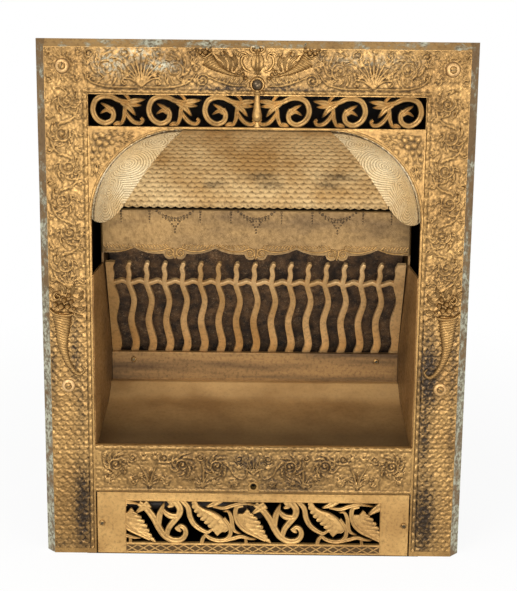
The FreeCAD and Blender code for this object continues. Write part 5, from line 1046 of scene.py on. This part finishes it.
def veined_leaf(drawn_edges, lobes, rise):
    """A drawn leaf with a vein to every notch, and the painted shade in its veins and along its rim."""
    edges = []
    for points in drawn_edges:
        line = smooth_line(points, 1.0)
        way = way_along(line)
        at = np.linspace(0, way[-1], LEAF_ROWS)
        edges.append(np.column_stack([np.interp(at, way, line[:, 0]), np.interp(at, way, line[:, 1])]))
    share = np.linspace(0, 1, LEAF_ROWS)[:, None]
    across = np.linspace(0, 1, 17)[None, :]
    outward = edges[0] - edges[1]
    outward /= np.linalg.norm(outward, axis=1)[:, None]
    notch = (1 - np.abs(np.sin(np.pi * lobes * share)) ** 0.7) * np.sin(np.pi * share)
    edge = edges[0] - outward * LOBE_MM * notch
    flat = edge[:, None] * (1 - across[..., None]) + edges[1][:, None] * across[..., None]
    vein = np.exp(-(np.sin(np.pi * (lobes * share + 2.2 * across ** 1.2)) / 0.3) ** 2)
    vein = vein * np.clip(1.2 - 2 * across, 0, 1)
    midrib = np.exp(-((across - 0.66) / 0.07) ** 2)
    rim = np.exp(-((across - 0.93) / 0.05) ** 2)
    height = rise * (0.84 + 0.1 * np.sin(np.pi * across))
    height = height + (0.8 * midrib - VEIN_MM * np.maximum(vein, rim)) * np.sin(np.pi * share)
    front = np.dstack([flat, height])
    shade = 0.8 * np.maximum(vein, 0.8 * rim) * np.sin(np.pi * share)
    return slab(front, np.dstack([flat, 0 * height])), np.append(shade, 0 * shade)


panel = []
panel_shade = []


def put_on_panel(shape, shade=0.0):
    """Adds a shape to the panel, with the painted shade of its hollows."""
    panel.append(shape)
    panel_shade.append(np.zeros(len(shape[0])) + shade)


put_on_panel(ring_plate(PANEL_PLATE, PANEL_WINDOW, 0.0, 7.0, 0.8))
for away in (0, PANEL_REPEAT, 2 * PANEL_REPEAT):
    for points, widths in PANEL_STROKES:
        placed = [(x - away, z) for x, z in points]
        across = [x for x, z in placed]
        if max(across) > -WINDOW_HALF and min(across) < WINDOW_HALF:
            scroll = swept(placed, widths, GROOVED_TOP, 5.2, step=1.8, reach=SCROLL_REACH)
            scroll = on_face(scroll, SCROLL_BACK)
            # The scrolls darken towards the plate: a painted shade.
            put_on_panel(scroll, 0.8 * sunk(scroll[0], 0.8, 2.2))
    for lobed, plain, lobes in PANEL_LEAVES:
        edges = [[(x - away, z) for x, z in edge] for edge in (lobed, plain)]
        if max(x for x, z in edges[0] + edges[1]) > -WINDOW_HALF:
            leaf, shade = veined_leaf(edges, lobes, 5.4)
            put_on_panel(on_face(leaf, SCROLL_BACK), shade)
border_x, border_z = np.meshgrid((-WINDOW_HALF, WINDOW_HALF), (BORDER_FOOT, BORDER_HEAD))
front, back = [np.dstack([border_x, np.full((2, 2), depth), border_z]) for depth in (-0.1, STRUT_BACK)]
# The ground behind the struts takes a dark painted shade.
put_on_panel(slab(front, back), 0.9)
for number in range(int(2 * WINDOW_HALF / STRUT_MM)):
    x = -WINDOW_HALF + STRUT_MM * number
    for low, high in ((BORDER_FOOT, BORDER_HEAD), (BORDER_HEAD, BORDER_FOOT)):
        strut = swept(straight((x, low), (x + STRUT_MM, high)), (2.2,) * 3, ROUND_TOP, 2.0, step=4.0)
        put_on_panel(on_face(strut, STRUT_BACK), 0.3)
for level in (2.2, 14.8, 84.0, 93.6):
    line = straight((-WINDOW_HALF, level), (WINDOW_HALF, level))
    put_on_panel(on_face(swept(line, (1.6,) * 3, ROUND_TOP, 1.3, step=30), STRUT_BACK))
panel_shape = together(panel)
panel_x = panel_shape[0][:, 0]
panel_z = panel_shape[0][:, 2]
# A patch of smoke lies over the strokes near the middle of the window's head.
darkening = 0.75 * np.exp(-((panel_x + 10) / 24) ** 2) * np.clip((panel_z - 72) / 12, 0, 1)
cast("pierced_lower_panel", panel_shape, panel_bronze, "gilt_iron", stands_for=["lower_grille"], soot=darkening,
     cavity=np.concatenate(panel_shade))

# %% [markdown]
# ## Hood
# The hood is a polished reflector let into the arch. Its middle bellies back under rows of scales and ends in
# a scalloped lip; its two corners are bright shells cut with rings, as engine turning is. The shapes follow
# the CAD's own lines, on grids fine enough to carry the scales and the rings as real relief.

# %% Hood
HOOD_TOP = np.array([0.0, 10.0, 623.5])
HOOD_LIP = np.array([0.0, 100.0, 505.0])
HOOD_OUT = np.array([0.0, 0.796, 0.605])
HOOD_LENGTH = 148.8
HOOD_TOP_HALF = 103.0
HOOD_LIP_HALF = 195.0
HOOD_SAG = 14.0
HOOD_WALL = 2.6
HOOD_ROW_MM = 7.8
HOOD_PERIOD_MM = 12.6
# Each dark streak has its level down the hood, its spread, its least strength, and its waves and their start.
STREAKS = [(0.66, 0.035, 0.3, 9, 1.3), (0.76, 0.03, 0.2, 13, 0.0)]


def corner_spot(share, step):
    """The left corner shell: share runs up the arch, step runs from the arch to the lip's end."""
    angle = np.radians(180 - 90 * share)
    radius = ARCH_RADIUS - 2.5
    arch = np.stack([ARCH_CENTRE[0] + radius * np.cos(angle), np.full_like(share, HOOD_TOP[1]),
                     ARCH_CENTRE[1] + radius * np.sin(angle)], -1)
    apex = HOOD_LIP - np.array([HOOD_LIP_HALF, 0, 0])
    bow = (4 * step * (1 - step))[..., None]
    share = share[..., None]
    step = step[..., None]
    dip = np.array([-3.0, 0.0, -13.0]) * bow * (1 - share)
    swell = np.array([-9.0, 3.0, 8.0]) * bow * 4 * share * (1 - share)
    return arch * (1 - step) + apex * step + HOOD_OUT * HOOD_SAG * bow * share + dip + swell


def facing(grid):
    """Unit normals of a grid of points, on the side of the eye."""
    normal = np.cross(np.gradient(grid, axis=1), np.gradient(grid, axis=0))
    normal /= np.maximum(np.linalg.norm(normal, axis=-1), 1e-9)[..., None]
    return np.where(normal[..., 1:2] > 0, -normal, normal)


turn, drop = np.meshgrid(np.linspace(-1, 1, 290), np.linspace(0, 1, 112))
lobe = 2.6 * np.abs(np.cos(np.pi * turn * HOOD_LIP_HALF / HOOD_PERIOD_MM)) / HOOD_LENGTH
along = drop * (1 + lobe)
half = HOOD_TOP_HALF + (HOOD_LIP_HALF - HOOD_TOP_HALF) * np.clip(along, 0, 1)
sheet = HOOD_TOP * (1 - along[..., None]) + HOOD_LIP * along[..., None]
sheet = sheet + HOOD_OUT * HOOD_SAG * (4 * along * (1 - along))[..., None]
sheet[..., 0] = turn * half
up = (1 - along) * HOOD_LENGTH + 1.5
scales = scale_rows(sheet[..., 0], up, HOOD_PERIOD_MM, HOOD_ROW_MM, 1.3, 0.55)
scales = scales * np.clip((1.08 - np.abs(turn)) * 12, 0, 1) * np.clip((along - 0.03) * 12, 0.1, 1)
front = sheet + facing(sheet) * (scales - 0.3)[..., None]
# The streaks stop short of the left end, and smoke lies along the lip.
streak = np.zeros(turn.shape)
for level, spread, least, waves, start in STREAKS:
    patches = np.clip(least + (1 - least) * np.sin(turn * waves + start), 0, 1)
    streak += np.exp(-0.5 * ((along - level) / spread) ** 2) * patches
streak = 0.6 * streak * (turn > -0.45) + 0.25 * np.exp(-0.5 * ((along - 1.0) / 0.03) ** 2)
cast("scaled_hood", slab(front, sheet + HOOD_OUT * HOOD_WALL), hood_bronze, "polished_iron", crisp=70,
     stands_for=["hood"], cavity=hollows(scales, 3), soot=np.clip(streak, 0, 1))

HIGHLIGHT_REACH_MM = 52.0
RING_DEPTH_MM = 0.28
# Each eye of the rings has its share, its step and its size; round the first one a painted highlight is laid.
RING_EYES = [(0.70, 0.46, 1.0), (0.90, 0.20, 0.5), (0.96, 0.10, 0.4), (0.36, 0.54, 0.6), (0.18, 0.48, 0.5)]
share, step = np.meshgrid(np.linspace(0, 1, 190), np.linspace(0, 0.985, 150))
shell = corner_spot(share, step)
nearest = np.full(share.shape, np.inf)
ring_reach = np.zeros(share.shape)
gaps = []
for ring_share, ring_step, size in RING_EYES:
    eye = corner_spot(np.array([ring_share]), np.array([ring_step]))[0]
    gap = np.linalg.norm(shell - eye, axis=-1)
    gaps.append(gap)
    ring_reach = np.where(gap / size < nearest, gap, ring_reach)
    nearest = np.minimum(nearest, gap / size)
away = facing(shell)
rings = RING_DEPTH_MM * (1 - np.cos(2 * math.pi * ring_reach / RING_PITCH_MM))
corner = slab(shell - (0.1 + rings)[..., None] * away, shell - away * HOOD_WALL)
# The shells are painted lighter round the first eye, a painted highlight, and darker away from it; a dark
# painted shade runs along their edge at the arch.
cast_pair("hood_shell", corner, shell_bronze, "polished_iron", crisp=75, ring_reach=ring_reach,
          cavity=0.34 - 0.34 * np.exp(-(gaps[0] / HIGHLIGHT_REACH_MM) ** 2), soot=np.clip((0.045 - step) / 0.02, 0, 1))

# %% [markdown]
# ## Valance
# A plain panel hangs under the hood. Garlands and drops of small beads are raised along its top, and its
# lower edge has a ribbed border that ends in paired volutes at three pendants. The CAD panel stays; the
# ornament stands on it.

# %% Valance ornament
VALANCE_FRONT = 103.4
PENDANTS = (-120.5, 0.0, 120.5)
GARLAND_TOP = 497.0
GARLAND_HALF = 27.0
GARLAND_FALL = 11.0
GARLAND_STEPS = 6
CLUSTER_BEADS = [(-7, 481.5), (7, 481.5), (-4.5, 477.5), (4.5, 477.5), (-1.8, 474), (1.8, 474), (0, 469.5),
                 (0, 465.5)]
DROP_BEADS = [(496, 3.6), (492, 3.0), (488, 2.6), (484, 2.2), (480.5, 1.7)]
DROP_PLACES = (-200, -158, -83, -37.5, 37.5, 83, 158, 200)
PENDANT_EDGE = [(2.4, 441), (2.0, 432), (0, 425.5)]
SWOOP = [(9, 441.4), (22, 437.2), (36, 436.8), (50, 440.6), (59, 444.8)]
END_SWOOP = [(182, 442.6), (196, 437), (212, 435.6), (226, 437.6)]
swags = []
border = []


def valance_stroke(group, points, widths, rise=1.8, step=1.6):
    """Adds one raised stroke to a group of the valance's ornament."""
    group.append(on_face(swept(points, widths, ROUND_TOP, rise, step=step), VALANCE_FRONT))


def bead_on_valance(x, z, wide):
    """Adds one small bead to the garlands and drops."""
    ends = straight((x - wide / 2, z), (x + wide / 2, z))
    valance_stroke(swags, ends, (wide * 0.5, wide, wide * 0.5), 1.5, 0.8)


def rib_on_border(x, low, high, hand):
    """Adds one small bent rib to the lower border."""
    points = [(x, low), (x + hand * 1.6, low + 3.4), (x + hand * 4.4, high)]
    valance_stroke(border, points, (0.9, 2.0, 0.9), 1.7, 1.2)


for middle in PENDANTS:
    for bead in range(-GARLAND_STEPS, GARLAND_STEPS + 1):
        fall = GARLAND_FALL * (1 - (bead / GARLAND_STEPS) ** 2)
        x = middle + GARLAND_HALF * bead / GARLAND_STEPS
        bead_on_valance(x, GARLAND_TOP - fall, 4.4 if bead % 2 else 3.4)
        if abs(bead) < GARLAND_STEPS - 1:
            bead_on_valance(x, GARLAND_TOP - 3.6 - fall, 2.4)
    for aside, level in CLUSTER_BEADS:
        bead_on_valance(middle + aside, level, 2.8)
    for hand in (-1, 1):
        volute = spiral(middle + hand * 8.6, 434.4, 6.8, 1.6, 90, hand, 0.8, 18)
        valance_stroke(border, volute, (2.4, 2.2, 1.6), 2.6)
        for line, widths in ((PENDANT_EDGE, (2.4, 2.6, 1.2)), (SWOOP, (2.4, 2.2, 1.4))):
            valance_stroke(border, [(middle + hand * x, z) for x, z in line], widths, 2.4)
        for rib in range(11):
            low = 440 + 0.25 * abs(rib - 5)
            rib_on_border(middle + hand * (10 + rib * 4.5), low, low + 6.0, hand)
for x in DROP_PLACES:
    for level, wide in DROP_BEADS:
        bead_on_valance(x, level, wide)
for hand in (-1, 1):
    valance_stroke(border, [(hand * x, z) for x, z in END_SWOOP], (2.0, 2.2, 2.0), 2.4)
    for rib in range(9):
        rib_on_border(hand * (186 + rib * 4.6), 439.6, 446, hand)
swag_shape = together(swags)
# The garlands and drops are painted dark, a painted shade as if they were hollows.
cast("valance_swags", swag_shape, valance_bronze, "gilt_iron", soot=np.full(len(swag_shape[0]), 0.6),
     cavity=0.9 * sunk(swag_shape[0], VALANCE_FRONT - 1.0, 1.0))
cast("valance_leaf_border", together(border), face_bronze, "gilt_iron")

# %% [markdown]
# ## Flame bars
# Fifteen wavy bars stand before the fibre like frozen flames, tied near their tips by a row of small arches.
# They are cast in one with two side plates and a foot. Each bar is swept along the CAD's own wave with eased
# edges, in a plane that leans towards the eye at the tips.

# %% Flame bars
BAR_FOOT = np.array([0.0, 185.0, 262.0])
BAR_UP = np.array([0.0, -0.4517, 0.8922])
BAR_BACK = np.array([0.0, 0.8922, 0.4517])
BAR_LENGTH = 174.9
BAR_DEPTH = 6.0
BAR_COUNT = 15
PLATE_OUTER = 224.65
PLATE_INNER = PLATE_OUTER - 13.0
BAR_PITCH = 2 * (PLATE_INNER - 9.0) / BAR_COUNT
BAR_SWING = 3.4
TIE_SHARE = 0.777
FOOT_MIDDLE = 242.0
FOOT_HEIGHT = 38.0
FOOT_BACK = 191.0
BAR_WAVE = [(-0.6, -0.069), (-0.2, 0), (0.7, 0.11), (-0.9, 0.35), (1.0, 0.58), (-0.9, 0.77), (-0.4, 0.87),
            (-0.8, 0.94), (0.3, 1.0)]
BAR_PATH = [(across * BAR_SWING, up * BAR_LENGTH) for across, up in BAR_WAVE]


def on_grate(stroke):
    """Stands a drawn stroke in the leaning plane of the bars."""
    spots, faces = stroke
    across = spots[:, :1] * np.array([1.0, 0.0, 0.0])
    return BAR_FOOT + across + spots[:, 1:2] * BAR_UP + (BAR_DEPTH - spots[:, 2:3]) * BAR_BACK, faces


grate = []
for number in range(BAR_COUNT):
    x = (number - (BAR_COUNT - 1) / 2) * BAR_PITCH
    bar = [(x + across, up) for across, up in BAR_PATH]
    grate.append(on_grate(swept(bar, (12.6, 9.2, 6.4), FLAT_TOP, BAR_DEPTH, step=1.2, cap=3.4)))
for number in range(BAR_COUNT + 1):
    x = (number - BAR_COUNT / 2) * BAR_PITCH
    tie = TIE_SHARE * BAR_LENGTH
    side = BAR_PITCH / 2
    arch = [(x - side - 3.5, tie - 3.0), (x - 0.5 * side, tie + 0.4), (x - 0.12 * side, tie + 3.0),
            (x + 0.12 * side, tie + 3.0), (x + 0.5 * side, tie + 0.4), (x + side - 2.5, tie - 3.0)]
    grate.append(on_grate(swept(arch, (6.4,) * 3, FLAT_TOP, BAR_DEPTH - 0.1, step=1.5)))
wave = smooth_line(BAR_PATH, 3.0)
across = np.linspace(0, 1, 4)[None, :]
plate_up = (wave[:, 1:2] + 0 * across)[..., None] * BAR_UP
for hand in (1, -1):
    plate_x = hand * PLATE_INNER + wave[:, :1] * (1 - across) + hand * (PLATE_OUTER - PLATE_INNER) * across
    plate_front = BAR_FOOT + plate_x[..., None] * np.array([1.0, 0, 0]) + plate_up
    grate.append(slab(plate_front, plate_front + BAR_BACK * BAR_DEPTH))
foot = straight((-PLATE_OUTER, FOOT_MIDDLE), (PLATE_OUTER, FOOT_MIDDLE))
grate.append(on_face(swept(foot, (FOOT_HEIGHT,) * 3, FLAT_TOP, BAR_DEPTH, step=40), FOOT_BACK))
cast("flame_bars", together(grate), bar_bronze, "firebox_iron", stands_for=["flame_grate"])

# %% [markdown]
# ## Fibre back
# The fibre behind the bars is lumpy: tufts of a few centimetres with smaller clumps on them. A seeded random
# grid, smoothed at three sizes, pushes a fine sheet in and out; the hollows take a dark painted shade.

# %% Fibre back
FIBRE_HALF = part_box("fibre_back")[1].x / MM - 0.3
FIBRE_FOOT = 246.0
FIBRE_HEAD = 449.0
FIBRE_ROWS = 130
FIBRE_COLS = 260
FIBRE_LEAN = 0.5064
FIBRE_FACE = 219.0
FIBRE_THICK = 17.0
# How far tufts, clumps and small clumps stand out, and how many spots of the grid each is across.
LUMPS = [(3.4, 18), (2.4, 7), (1.6, 3)]
x, z = np.meshgrid(np.linspace(-FIBRE_HALF, FIBRE_HALF, FIBRE_COLS),
                   np.linspace(FIBRE_FOOT, FIBRE_HEAD, FIBRE_ROWS))
lumps = sum(rise * clumps(FIBRE_ROWS, FIBRE_COLS, cell) for rise, cell in LUMPS)
plane = FIBRE_FACE - (z - BAR_FOOT[2]) * FIBRE_LEAN
packed = slab(np.dstack([x, plane + 4.2 - lumps, z]), np.dstack([x, plane + FIBRE_THICK, z]))
cast("packed_fibre_back", packed, fibre, "fibre", stands_for=["fibre_back"], crisp=80,
     cavity=np.clip(1.1 - lumps / 4.4, 0, 1))

# %% [markdown]
# ## Cornucopias and crest
# A ribbed horn of plenty curls on each stile, with fruit and leaf at its mouth, and a fluted vase between two
# smaller horns crowns the header. A horn is a half-round section that follows a curved line, with ribs that
# slant round it. Fruit are lathe shapes with a dimple, so none is a plain ball.

# %% Horns, fruit and vase
FIELD_FLOOR = 1.2


def ribbed_horn(line, rib_mm):
    """A half-round horn along (x, z, radius, relief) points, with ribs that slant round it."""
    path = smooth_line(line, 0.9)
    beside, stretch = sideways(path[:, :2])
    angle = np.linspace(0, np.pi, 26)
    way = np.cumsum(stretch)[:, None]
    ribs = np.abs(np.sin(np.pi * (way / rib_mm + 0.8 * angle[None, :])))
    swell = 0.88 + 0.14 * ribs
    out = path[:, 2:3] * np.cos(angle)[None, :] * swell
    up = path[:, 3:4] * np.sin(angle)[None, :] * swell
    x = path[:, :1] + beside[:, :1] * out
    z = path[:, 1:2] + beside[:, 1:2] * out
    front = np.dstack([x, FIELD_FLOOR - up, z])
    return slab(front, np.dstack([x, np.full_like(x, FIELD_FLOOR + 0.2), z]))


def turned(profile, place, axis, sides=28, flutes=0, flute_depth=0.0):
    """A lathe shape: (radius, height) pairs spun round an axis through a place."""
    profile = smooth_line(profile, 0.9)
    angle = np.linspace(0, 2 * np.pi, sides, endpoint=False)
    radius = np.maximum(profile[:, :1], 0.02) * (1 + flute_depth * np.cos(flutes * angle)[None, :])
    first = radius * np.cos(angle)[None, :]
    second = radius * np.sin(angle)[None, :]
    height = profile[:, 1:2] + 0 * first
    spots = np.dstack([first, height, second] if axis == "y" else [first, second, height])
    return spots.reshape(-1, 3) + np.array(place), tube_faces(len(profile), sides)


def fruit(x, z, radius, relief):
    """A round fruit with a dimple towards the eye."""
    profile = [(0.3 * radius, 1.0), (0.85 * radius, 0.2), (radius, -0.3 * relief),
               (0.8 * radius, -0.75 * relief), (0.4 * radius, -relief), (0.12 * radius, -0.9 * relief)]
    return turned(profile, (x, FIELD_FLOOR, z), "y", 18, 5, 0.05)


def floor_stroke(points, widths, rise, step=2.0):
    """A round stroke on the floor of the field."""
    return on_face(swept(points, widths, ROUND_TOP, rise, step=step), FIELD_FLOOR)


def small_leaf(x, z, length, angle, width):
    """A pointed leaf with a rib."""
    turn = math.radians(angle)
    points = [(x, z), (x + 0.5 * length * math.cos(turn), z + 0.5 * length * math.sin(turn)),
              (x + length * math.cos(turn + 0.35), z + length * math.sin(turn + 0.35))]
    return on_face(swept(points, (width * 0.4, width, 0.8), GROOVED_TOP, 4.4, step=1.6), FIELD_FLOOR)


HORN = [(-248, 287, 1.8, 3.2), (-244, 281, 2.6, 4.4), (-250, 274.5, 3.2, 5.0), (-258, 278, 4.0, 5.6),
        (-267, 291, 5.2, 6.6), (-272.6, 308, 7.0, 7.6), (-274.6, 325, 9.4, 8.6), (-274, 348, 12.6, 9.6),
        (-274.6, 366, 15.4, 10.2)]
HORN_FRUIT = [(-284, 377, 4.6, 10.6), (-275, 374, 5.2, 11.2), (-266, 374, 4.6, 10.6), (-271, 383, 4.4, 10.2),
              (-261, 381, 4.0, 9.0), (-264, 390, 3.6, 8.4), (-286, 388, 3.6, 8.0), (-257, 371, 3.2, 7.6)]
HORN_LEAVES = [(-270, 392, 17, 95, 7), (-262, 391, 15, 60, 6), (-256, 382, 15, 20, 6),
               (-254, 372, 13, -10, 6), (-286, 392, 13, 115, 6), (-256, 364, 12, -35, 5),
               (-277, 396, 14, 80, 6), (-262, 398, 12, 40, 5), (-250, 390, 10, 30, 5)]
horn = [ribbed_horn(HORN, 3.8)]
horn.append(floor_stroke([(-291, 371), (-283, 364.5), (-270, 362), (-258, 364)], (3, 4.4, 3), 11.6))
horn += [fruit(*given) for given in HORN_FRUIT]
horn.append(floor_stroke(spiral(-279.5, 389, 6.5, 1.1, 90, 1, 0.8, 18), (3.4, 3.8, 2.0), 9.0))
horn += [small_leaf(*given) for given in HORN_LEAVES]
left_horn = together(horn)
# The horn and its fruit darken towards the field floor: a painted shade.
cast_pair("horn_of_plenty", left_horn, face_bronze, "gilt_iron", stands_for="cornucopia",
          cavity=0.9 * sunk(left_horn[0], -6.5, 8.0))

CREST_FOOT = (0, FIELD_FLOOR + 1, 701.4)
WING = [(-18, 699, 1.8, 4.5), (-28, 700.5, 2.2, 5.5), (-40, 703.5, 3.2, 6.6), (-52, 709, 5.4, 8.0),
        (-62, 716, 8.8, 9.2), (-69, 722, 11.4, 10.0)]
WING_FRUIT = [(-78, 731, 3.4, 9.0), (-71, 731, 4.0, 10.0), (-65, 734, 3.2, 9.0), (-73, 736, 2.8, 8.0),
              (-20, 702, 3.0, 8.6), (-25, 706, 2.6, 7.6), (-16, 697, 2.8, 8.0), (-29, 702, 2.4, 7.0),
              (-21, 709, 2.2, 6.6)]
WING_LEAVES = [(-42, 706, 28, 105, 5), (-38, 705, 30, 88, 5), (-33, 706, 25, 72, 5), (-46, 708, 20, 122, 4.5),
               (-66, 737, 8, 70, 4), (-79, 733, 8, 140, 4), (-28, 712, 18, 110, 4.5)]
WING_STROKES = [([(-9, 705), (-17, 709), (-22, 718), (-20, 726), (-14, 727), (-13, 722)], (3, 4.4, 2.6), 7.5),
                ([(-12, 727), (-18, 731), (-24, 730), (-26, 725)], (2.4, 3.4, 1.6), 6.0),
                ([(-4, 731), (-9, 734), (-8, 739), (-3, 739)], (3.0, 4.6, 3.0), 7.0)]
wing = [ribbed_horn(WING, 3.6)]
wing.append(floor_stroke([(-79, 727), (-72, 724), (-62, 731)], (2.4, 3.4, 2.4), 11.2))
wing += [fruit(*given) for given in WING_FRUIT]
wing += [small_leaf(*given) for given in WING_LEAVES]
wing += [floor_stroke(points, widths, rise, 1.2) for points, widths, rise in WING_STROKES]
left_wing = together(wing)
VASE = [(5.2, 0), (6.2, 1.5), (4.6, 3.5), (5.8, 6), (9.0, 10), (10.4, 15), (10.2, 20), (8.2, 25), (6.6, 27.5),
        (7.6, 29.5), (8.6, 31), (7.4, 32)]
BUD = [(5, 31), (6.2, 33), (5.6, 35.5), (3.4, 37.4), (1.0, 38)]
vase = turned(VASE, CREST_FOOT, "z", 64, 8, 0.11)
bud = turned(BUD, CREST_FOOT, "z", 40, 5, 0.14)
crest = together([left_wing, mirrored(left_wing), vase, bud])
# The crest darkens towards the field floor: a painted shade under its horns and fruit.
cast("vase_crest", crest, face_bronze, "gilt_iron", stands_for=["crest_ornament"],
     cavity=0.95 * sunk(crest[0], -5.0, 6.0))

# %% [markdown]
# ## Bosses, screws and damper handle
# Four turned bosses carry the screws that hold the face to its casing. Those heads, like the panel's and the
# rail's, are slotted and bronzed over. The damper handle is a bronzed drop under a hub of steel worn bright
# by hand; it turns with the damper, so it rides on that body.

# %% Bosses, screw heads and handle
BOSS_FRONT = -6.5
BOSS_PROFILE = [(10.9, 1.4), (11.0, -0.4), (9.9, -1.4), (9.3, -2.6), (9.6, -3.6), (8.6, -5.4), (6.4, -6.3),
                (5.2, -6.4)]
# Each head has its place, its radius, its height and the angle of its slot.
LOW_HEADS = [(-222, 0.2, 47.6, 4.6, 2.7, 35), (222, 0.2, 47.6, 4.6, 2.7, -20),
             (-191, 180.2, 249, 4.6, 2.7, 60), (191, 180.2, 249, 4.6, 2.7, 5)]
HEAD_RINGS = [(1.0, 0.0), (1.0, 0.3), (0.86, 0.72), (0.55, 1.0)]
HEAD_SPOTS = np.linspace(0.09, math.pi - 0.09, 12)


def slotted_head(x, y, z, radius, height, angle):
    """Two half domes with a slot between them."""
    halves = []
    turn = math.radians(angle)
    for hand in (-1, 1):
        spots = []
        for grow, rise in HEAD_RINGS:
            along = grow * radius * np.cos(HEAD_SPOTS)
            aside = hand * np.maximum(grow * radius * np.sin(HEAD_SPOTS), 0.12 * radius)
            spots.append(np.column_stack([x + along * math.cos(turn) - aside * math.sin(turn),
                                          np.full_like(along, y - height * rise),
                                          z + along * math.sin(turn) + aside * math.cos(turn)]))
        halves.append((np.vstack(spots), tube_faces(len(HEAD_RINGS), len(HEAD_SPOTS))))
    return together(halves)


bosses = []
heads = []
for x, z, angle in ((-267, 258, 20), (-267, 711, 75), (267, 258, -35), (267, 711, 10)):
    bosses.append(turned(BOSS_PROFILE, (x, 0, z), "y", 40))
    heads.append(slotted_head(x, BOSS_FRONT + 0.4, z, 5.3, 3.2, angle))
heads += [slotted_head(*given) for given in LOW_HEADS]
boss_shape = together(bosses)
# The bosses darken towards the face: a painted shade round their foot.
cast("turned_bosses", boss_shape, bar_bronze, "gilt_iron", stands_for=["face_bosses"],
     cavity=0.9 * sunk(boss_shape[0], -5.0, 4.5))
cast("bronzed_screw_heads", together(heads), face_bronze, "screw_steel")

HANDLE_HUB = (0.0, -18.0, 688.4)
HUB_PROFILE = [(0.3, -7.6), (2.6, -7.2), (5.0, -5.8), (6.9, -3.3), (7.8, 0.0), (7.2, 3.6), (5.4, 6.6),
               (4.1, 7.1)]
DROP_PROFILE = [(3.4, -4.5), (3.2, -8.5), (5.0, -10.0), (5.0, -11.5), (3.6, -13.5), (3.7, -20), (4.8, -30),
                (6.6, -40), (6.6, -44), (4.8, -48), (2.2, -50), (0.4, -50.2)]
hub = turned(HUB_PROFILE, HANDLE_HUB, "y", 36)
drop = turned(DROP_PROFILE, HANDLE_HUB, "z", 30)
cast("damper_drop_handle", drop, face_bronze, "gilt_iron", body="damper", stands_for=["damper_handle"])
cast("damper_hub", hub, worn_steel, "screw_steel", body="damper")

# %% [markdown]
# ## Casing laps and rivets
# The sheet-iron casing behind the face is lapped and riveted: a strip covers each edge of its back, and rows
# of domed rivets run along the upper and lower strips and down both sides. They are what the eye finds from
# the sides and the back.

# %% Laps and rivets
RIVET_PROFILE = [(4.2, 0.2), (4.2, -1.2), (3.4, -2.3), (1.8, -3.0), (0.2, -3.2)]
LAP_WIDTH = 22.0
LAP_RISE = 1.2
LAP_ENDS = [((-240, 18), (240, 18)), ((-240, 682), (240, 682)), ((-238, 29), (-238, 671)),
            ((238, 29), (238, 671))]
CASING_HALF = 250.0
SIDE_ROW = 246.0
back_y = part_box("rear_casing")[1].y / MM
rivet, rivet_faces = turned(RIVET_PROFILE, (0, 0, 0), "y", 12)
rivets = []
for x in np.linspace(-225, 225, 8):
    for z in (18.0, 682.0):
        rivets.append((rivet * (1, -1, 1) + np.array([x, back_y, z]), rivet_faces))
for hand in (-1, 1):
    outward = np.column_stack([-hand * rivet[:, 1], rivet[:, 0], rivet[:, 2]])
    for z in np.linspace(60, 640, 9):
        rivets.append((outward + np.array([hand * CASING_HALF, SIDE_ROW, z]), rivet_faces))
cast("casing_rivets", together(rivets), flue_iron, "sheet_iron")
laps = []
for start, end in LAP_ENDS:
    spots, faces = swept(straight(start, end), (LAP_WIDTH,) * 3, FLAT_TOP, LAP_RISE, step=40)
    laps.append((np.column_stack([spots[:, 0], back_y + spots[:, 2], spots[:, 1]]), faces))
cast("casing_laps", together(laps), sheet_iron, "sheet_iron")
